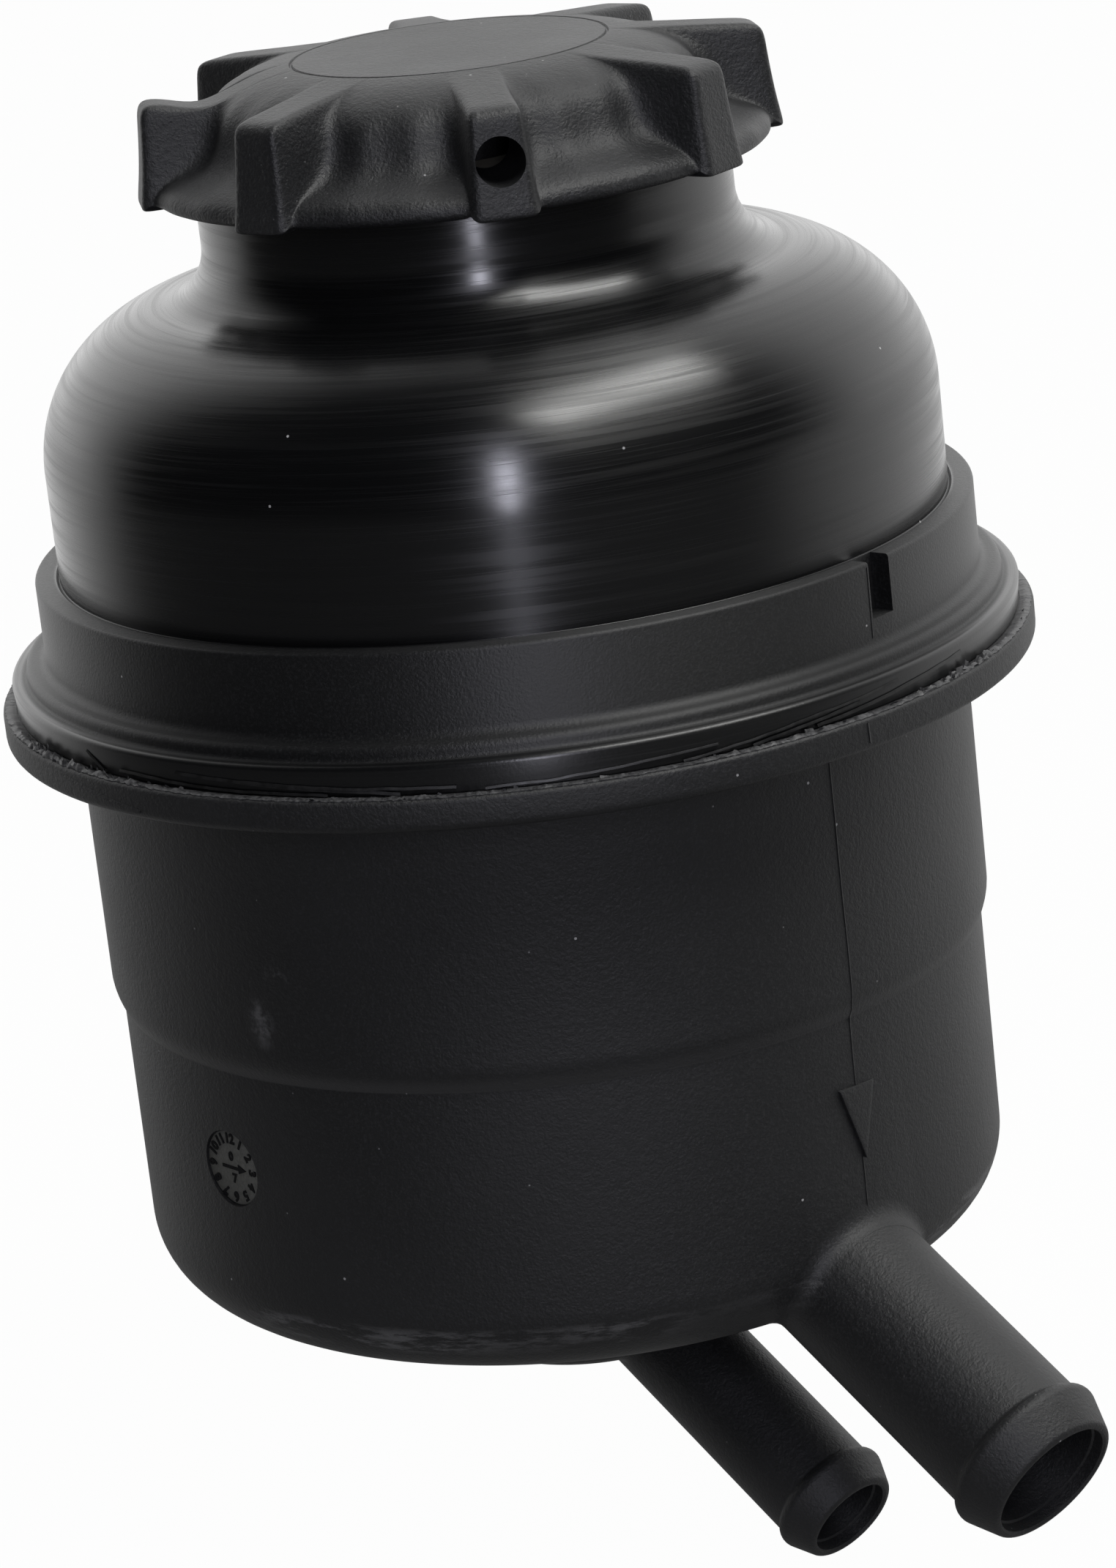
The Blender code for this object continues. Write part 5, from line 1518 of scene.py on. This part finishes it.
def cap_finish():
    material, finish = new_finish("cap_nylon_grained")
    place = finish.place()
    clouds = finish.speckle(place, CAP_CLOUD_SCALE, 3.0)
    pits = finish.speckle(place, CAP_PIT_SCALE, 2.0)
    specks = dust(finish, place, 560.0, 0.1, 0.05)
    glint = dust(finish, place, 1700.0, 0.16, 0.06)
    tone = finish.blend(finish.ramp(clouds, 0.35, 0.7), *CAP_TONES)
    grain, tone = grained(finish, place, CAP_GRAIN_SCALE, tone, CAP_PEAK_TONE)
    tone = finish.blend(glint * 0.35, tone, CAP_GLINT_TONE)
    tone = finish.blend(specks * 0.7, tone, CAP_DUST_TONE)
    rough = finish.ramp(clouds, 0.3, 0.75) * 0.06 + 0.43 + grain * 0.14
    finish.surface({
        "Base Color": tone, "Roughness": rough, "Specular IOR Level": 0.5,
        "Normal": finish.bump(grain + 0.8 * pits, 0.9, 0.11 * MM)})
    return material


cap_nylon = cap_finish()
print("the cap's finish has", len(cap_nylon.node_tree.nodes), "nodes")

# %% [markdown]
# ## Finish: the shell
# Three finishes share one moulding. The dome is polished and shows fine marks that run round it, left by the
# mould's polishing. The band is grained like the cup. The flange is smooth, with drawn scratches. Where a
# point lies tells which one it gets: height separates the dome, and radius separates the flange.

# %% The shell's finish
# Heights and radii between which the dome's and the flange's polish come in
DOME_HEIGHTS = (16.05 * MM, 16.3 * MM)
DOME_RADII = (45.8 * MM, 45.3 * MM)
FLANGE_HEIGHTS = (6.8 * MM, 6.5 * MM)
FLANGE_RADII = (50.0 * MM, 50.6 * MM)
MARKS_PER_METRE = 7000.0
# Tones from dark to light, of the grained band and of the polished dome
BAND_TONES = (grey(0.0045, 0.8), grey(0.018, 0.5))
DOME_TONES = (grey(0.0026, 1.0), grey(0.0058, 0.8))


def shell_finish():
    material, finish = new_finish("shell_nylon_polished")
    place = finish.place()
    x, y, z = finish.parts(place)
    radius = finish.length(finish.vector(x, y, 0.0))
    dome = finish.ramp(z, *DOME_HEIGHTS) * finish.ramp(radius, *DOME_RADII)
    flange = finish.ramp(z, *FLANGE_HEIGHTS) * finish.ramp(radius, *FLANGE_RADII)
    polished = dome + flange * 0.8
    # The marks are long round the shell and fine across it, on its wall and on its shoulder
    across = (z - radius) * MARKS_PER_METRE
    marks = finish.speckle(finish.vector(x * 45.0, y * 45.0, across), 1.0, 4.0, 0.65)
    broad = finish.speckle(finish.vector(x * 30.0, y * 30.0, across * 0.16), 1.0, 2.0)
    specks = dust(finish, place, 420.0, 0.07, 0.04)
    grain, matte_tone = grained(finish, place, GRAIN_SCALE, *BAND_TONES)
    drawn = finish.ramp(marks, 0.5, 0.75)
    polished_tone = finish.blend(drawn, *DOME_TONES)
    tone = finish.blend(polished, matte_tone, polished_tone)
    tone = finish.blend(specks * 0.8, tone, DUST_TONE)
    rough_matte = 0.46 + grain * 0.14
    rough_polished = 0.23 + drawn * 0.12 + finish.ramp(broad, 0.4, 0.7) * 0.1
    rough = rough_matte * (1.0 - polished) + rough_polished * polished
    relief = grain * (1.0 - polished) + marks * polished * 0.07
    finish.surface({
        "Base Color": tone, "Roughness": rough, "Specular IOR Level": 0.5,
        "Anisotropic": 0.72, "Anisotropic Rotation": 0.25, "Normal": finish.bump(relief, 0.6, 0.07 * MM)})
    return material


shell_nylon = shell_finish()
print("the shell's finish has", len(shell_nylon.node_tree.nodes), "nodes")

# %% [markdown]
# ## Finishes of the small and the hidden pieces
# Oil reservoirs hold natural nylon, zinc-plated sheet, spring wire, resin-treated paper and rubber. They show
# only when the cap is off or the model is cut open, so each gets one clear feature: a cloudy tint, zinc
# spangle, fine lines drawn along the wire, paper fibres, or a dull bloom. The weld's flash, its folds and the
# dial are small, so cloudy noise of two tones is enough for them as well.


# %% One recipe with one feature
def toned_finish(name, dark, light, scale, rough, metallic=0.0, stretch=(1.0, 1.0, 1.0), relief=0.03 * MM,
                 shine=0.5):
    """Two tones mixed by cloudy noise. Stretch draws the noise out, and relief is the bump's depth."""
    material, finish = new_finish(name)
    clouds = finish.speckle(finish.stretch(finish.place(), stretch), scale, 4.0, 0.6)
    share = finish.ramp(clouds, 0.3, 0.7)
    finish.surface({
        "Base Color": finish.blend(share, (*dark, 1.0), (*light, 1.0)), "Roughness": share * 0.12 + rough,
        "Metallic": metallic, "Specular IOR Level": shine, "Normal": finish.bump(clouds, 0.4, relief)})
    return material


natural = toned_finish("natural_nylon", (0.60, 0.56, 0.44), (0.74, 0.71, 0.60), 120.0, 0.38)
zinc = toned_finish("zinc_plate", (0.50, 0.50, 0.49), (0.68, 0.68, 0.66), 340.0, 0.26, metallic=1.0)
spring_wire = toned_finish("spring_wire", (0.36, 0.36, 0.37), (0.52, 0.52, 0.53), 260.0, 0.24, metallic=1.0,
                           stretch=(1.0, 1.0, 6.0))
paper = toned_finish("filter_paper", (0.50, 0.38, 0.20), (0.68, 0.56, 0.36), 700.0, 0.8,
                     stretch=(1.0, 1.0, 0.3), relief=0.1 * MM)
rubber = toned_finish("seal_rubber", (0.010, 0.010, 0.010), (0.022, 0.021, 0.020), 420.0, 0.62)
stick = toned_finish("dipstick_nylon", (0.012, 0.012, 0.013), (0.020, 0.020, 0.021), 900.0, 0.42)
flash_nylon = toned_finish("flash_nylon", (0.010, 0.010, 0.011), (0.060, 0.060, 0.062), 2600.0, 0.42,
                           relief=0.08 * MM)
fold_nylon = toned_finish("fold_nylon", (0.003, 0.003, 0.003), (0.008, 0.008, 0.008), 900.0, 0.4)
field_nylon = toned_finish("dial_blasted", (0.075, 0.076, 0.066), (0.120, 0.120, 0.108), 3000.0, 0.7)
mark_nylon = toned_finish("dial_marks", (0.003, 0.003, 0.0035), (0.006, 0.006, 0.007), 900.0, 0.5, shine=0.08)
print(len(bpy.data.materials), "materials in all")


# %% Dress every piece
def wear(material, *pieces):
    for piece in pieces:
        piece.data.materials.clear()
        piece.data.materials.append(material)


wear(natural, nodes["baffle_plate"], nodes["filter_core_tube"], nodes["splash_disc"])
wear(rubber, nodes["filter_grommet"], nodes["cap_seal"])
wear(zinc, nodes["filter_bottom_disc"], nodes["filter_top_disc"])
wear(paper, nodes["filter_pleats"])
wear(stick, nodes["dipstick"])
wear(spring_wire, spring)
wear(cup_nylon, cup, arrow, *seams)
wear(shell_nylon, shell)
wear(cap_nylon, cap, cap_thread)
wear(flash_nylon, weld_flash)
wear(fold_nylon, *folds)
wear(field_nylon, dial_field)
wear(mark_nylon, dial_marks)

# %% [markdown]
# ## The floor, the surroundings and the lamps
# The picture is black plastic on pure white. Gloss shows what surrounds an object, so the surroundings
# matter more than the lamps: white behind the vessel gives its bright edges, and a dark room in front keeps
# the dome black. One tall strip beside the camera and one panel overhead give the dome its highlights.

# %% The floor
FLOOR_SIZE = 6.0
FLOOR_GAP = 0.3 * MM
WHITE = grey(1.0)
PAINTED_FLOOR = grey(0.12)


def floor_finish():
    """White to the camera, bright to gloss behind the vessel, and dark to everything else."""
    material, finish = new_finish("floor_white")
    camera_ray = finish.node("ShaderNodeLightPath", output="Is Camera Ray")
    glossy_ray = Wire(camera_ray.socket.node.outputs["Is Glossy Ray"])
    x, y, _ = finish.parts(finish.place())
    behind = finish.ramp(y + x * 0.35, -0.16, 0.30)
    painted = finish.node("ShaderNodeBsdfDiffuse", {}, {"Color": PAINTED_FLOOR})
    bright = finish.node("ShaderNodeEmission", {}, {"Color": WHITE, "Strength": 1.03})
    lit = camera_ray * 0.95 + glossy_ray * behind
    above = finish.node("ShaderNodeMixShader", {}, {0: lit, 1: painted, 2: bright})
    # Looked at from below, the floor isn't there, so that the vessel's underside can be seen
    clear = finish.node("ShaderNodeBsdfTransparent")
    from_below = finish.node("ShaderNodeNewGeometry", output="Backfacing")
    both = finish.node("ShaderNodeMixShader", {}, {0: from_below, 1: above, 2: clear})
    finish.node("ShaderNodeOutputMaterial", {}, {"Surface": both})
    return material


floor_shape = bmesh.new()
bmesh.ops.create_grid(floor_shape, x_segments=1, y_segments=1, size=FLOOR_SIZE / 2)
floor = new_piece("floor", floor_shape)
floor.location.z = cad_low.z - FLOOR_GAP
wear(floor_finish(), floor)
print("floor at %.1f mm" % (floor.location.z / MM))


# %% The surroundings
def studio_sky(world):
    """White to the camera. To everything else, bright behind the vessel and nearly dark in front."""
    world.use_nodes = True
    sky = Finish(world.node_tree)
    x, y, _ = sky.parts(sky.node("ShaderNodeTexCoord", output="Generated"))
    behind = sky.ramp(y + x * 0.2, -0.02, 0.62)
    camera_ray = sky.node("ShaderNodeLightPath", output="Is Camera Ray")
    strength = (behind * 1.45 + 0.015) * (1.0 - camera_ray) + camera_ray
    light = sky.node("ShaderNodeBackground", {}, {"Color": WHITE, "Strength": strength})
    sky.node("ShaderNodeOutputWorld", {}, {"Surface": light})


studio = bpy.data.worlds.new("studio")
studio_sky(studio)
bpy.context.scene.world = studio
print("the surroundings have", len(studio.node_tree.nodes), "nodes")


# %% The lamps
def lamp(name, azimuth_deg, elevation_deg, distance, width, height, power, colour):
    """An area lamp that looks at the vessel's middle from a given side."""
    light = bpy.data.lights.new(name, "AREA")
    light.shape = "RECTANGLE"
    light.size = width
    light.size_y = height
    light.energy = power
    light.color = colour
    item = bpy.data.objects.new(name, light)
    bpy.context.scene.collection.objects.link(item)
    elevation = math.radians(elevation_deg)
    away = radial(math.radians(azimuth_deg), math.cos(elevation), math.sin(elevation))
    item.location = away * distance
    item.rotation_mode = "QUATERNION"
    item.rotation_quaternion = away.to_track_quat("Z", "Y")
    item.visible_camera = False
    print(name, "gives", power, "W from", distance, "m")


lamp("front_strip", -88.0, 16.0, 0.95, 0.05, 0.60, 3.1, (0.88, 0.88, 1.0))
lamp("overhead_panel", -37.0, 61.0, 1.0, 0.74, 0.27, 9.2, (1.0, 1.0, 0.98))

# %% [markdown]
# ## The last step
# Colours are shown through the plain Standard view transform.

# %% Set the view transform
bpy.context.scene.view_settings.view_transform = "Standard"
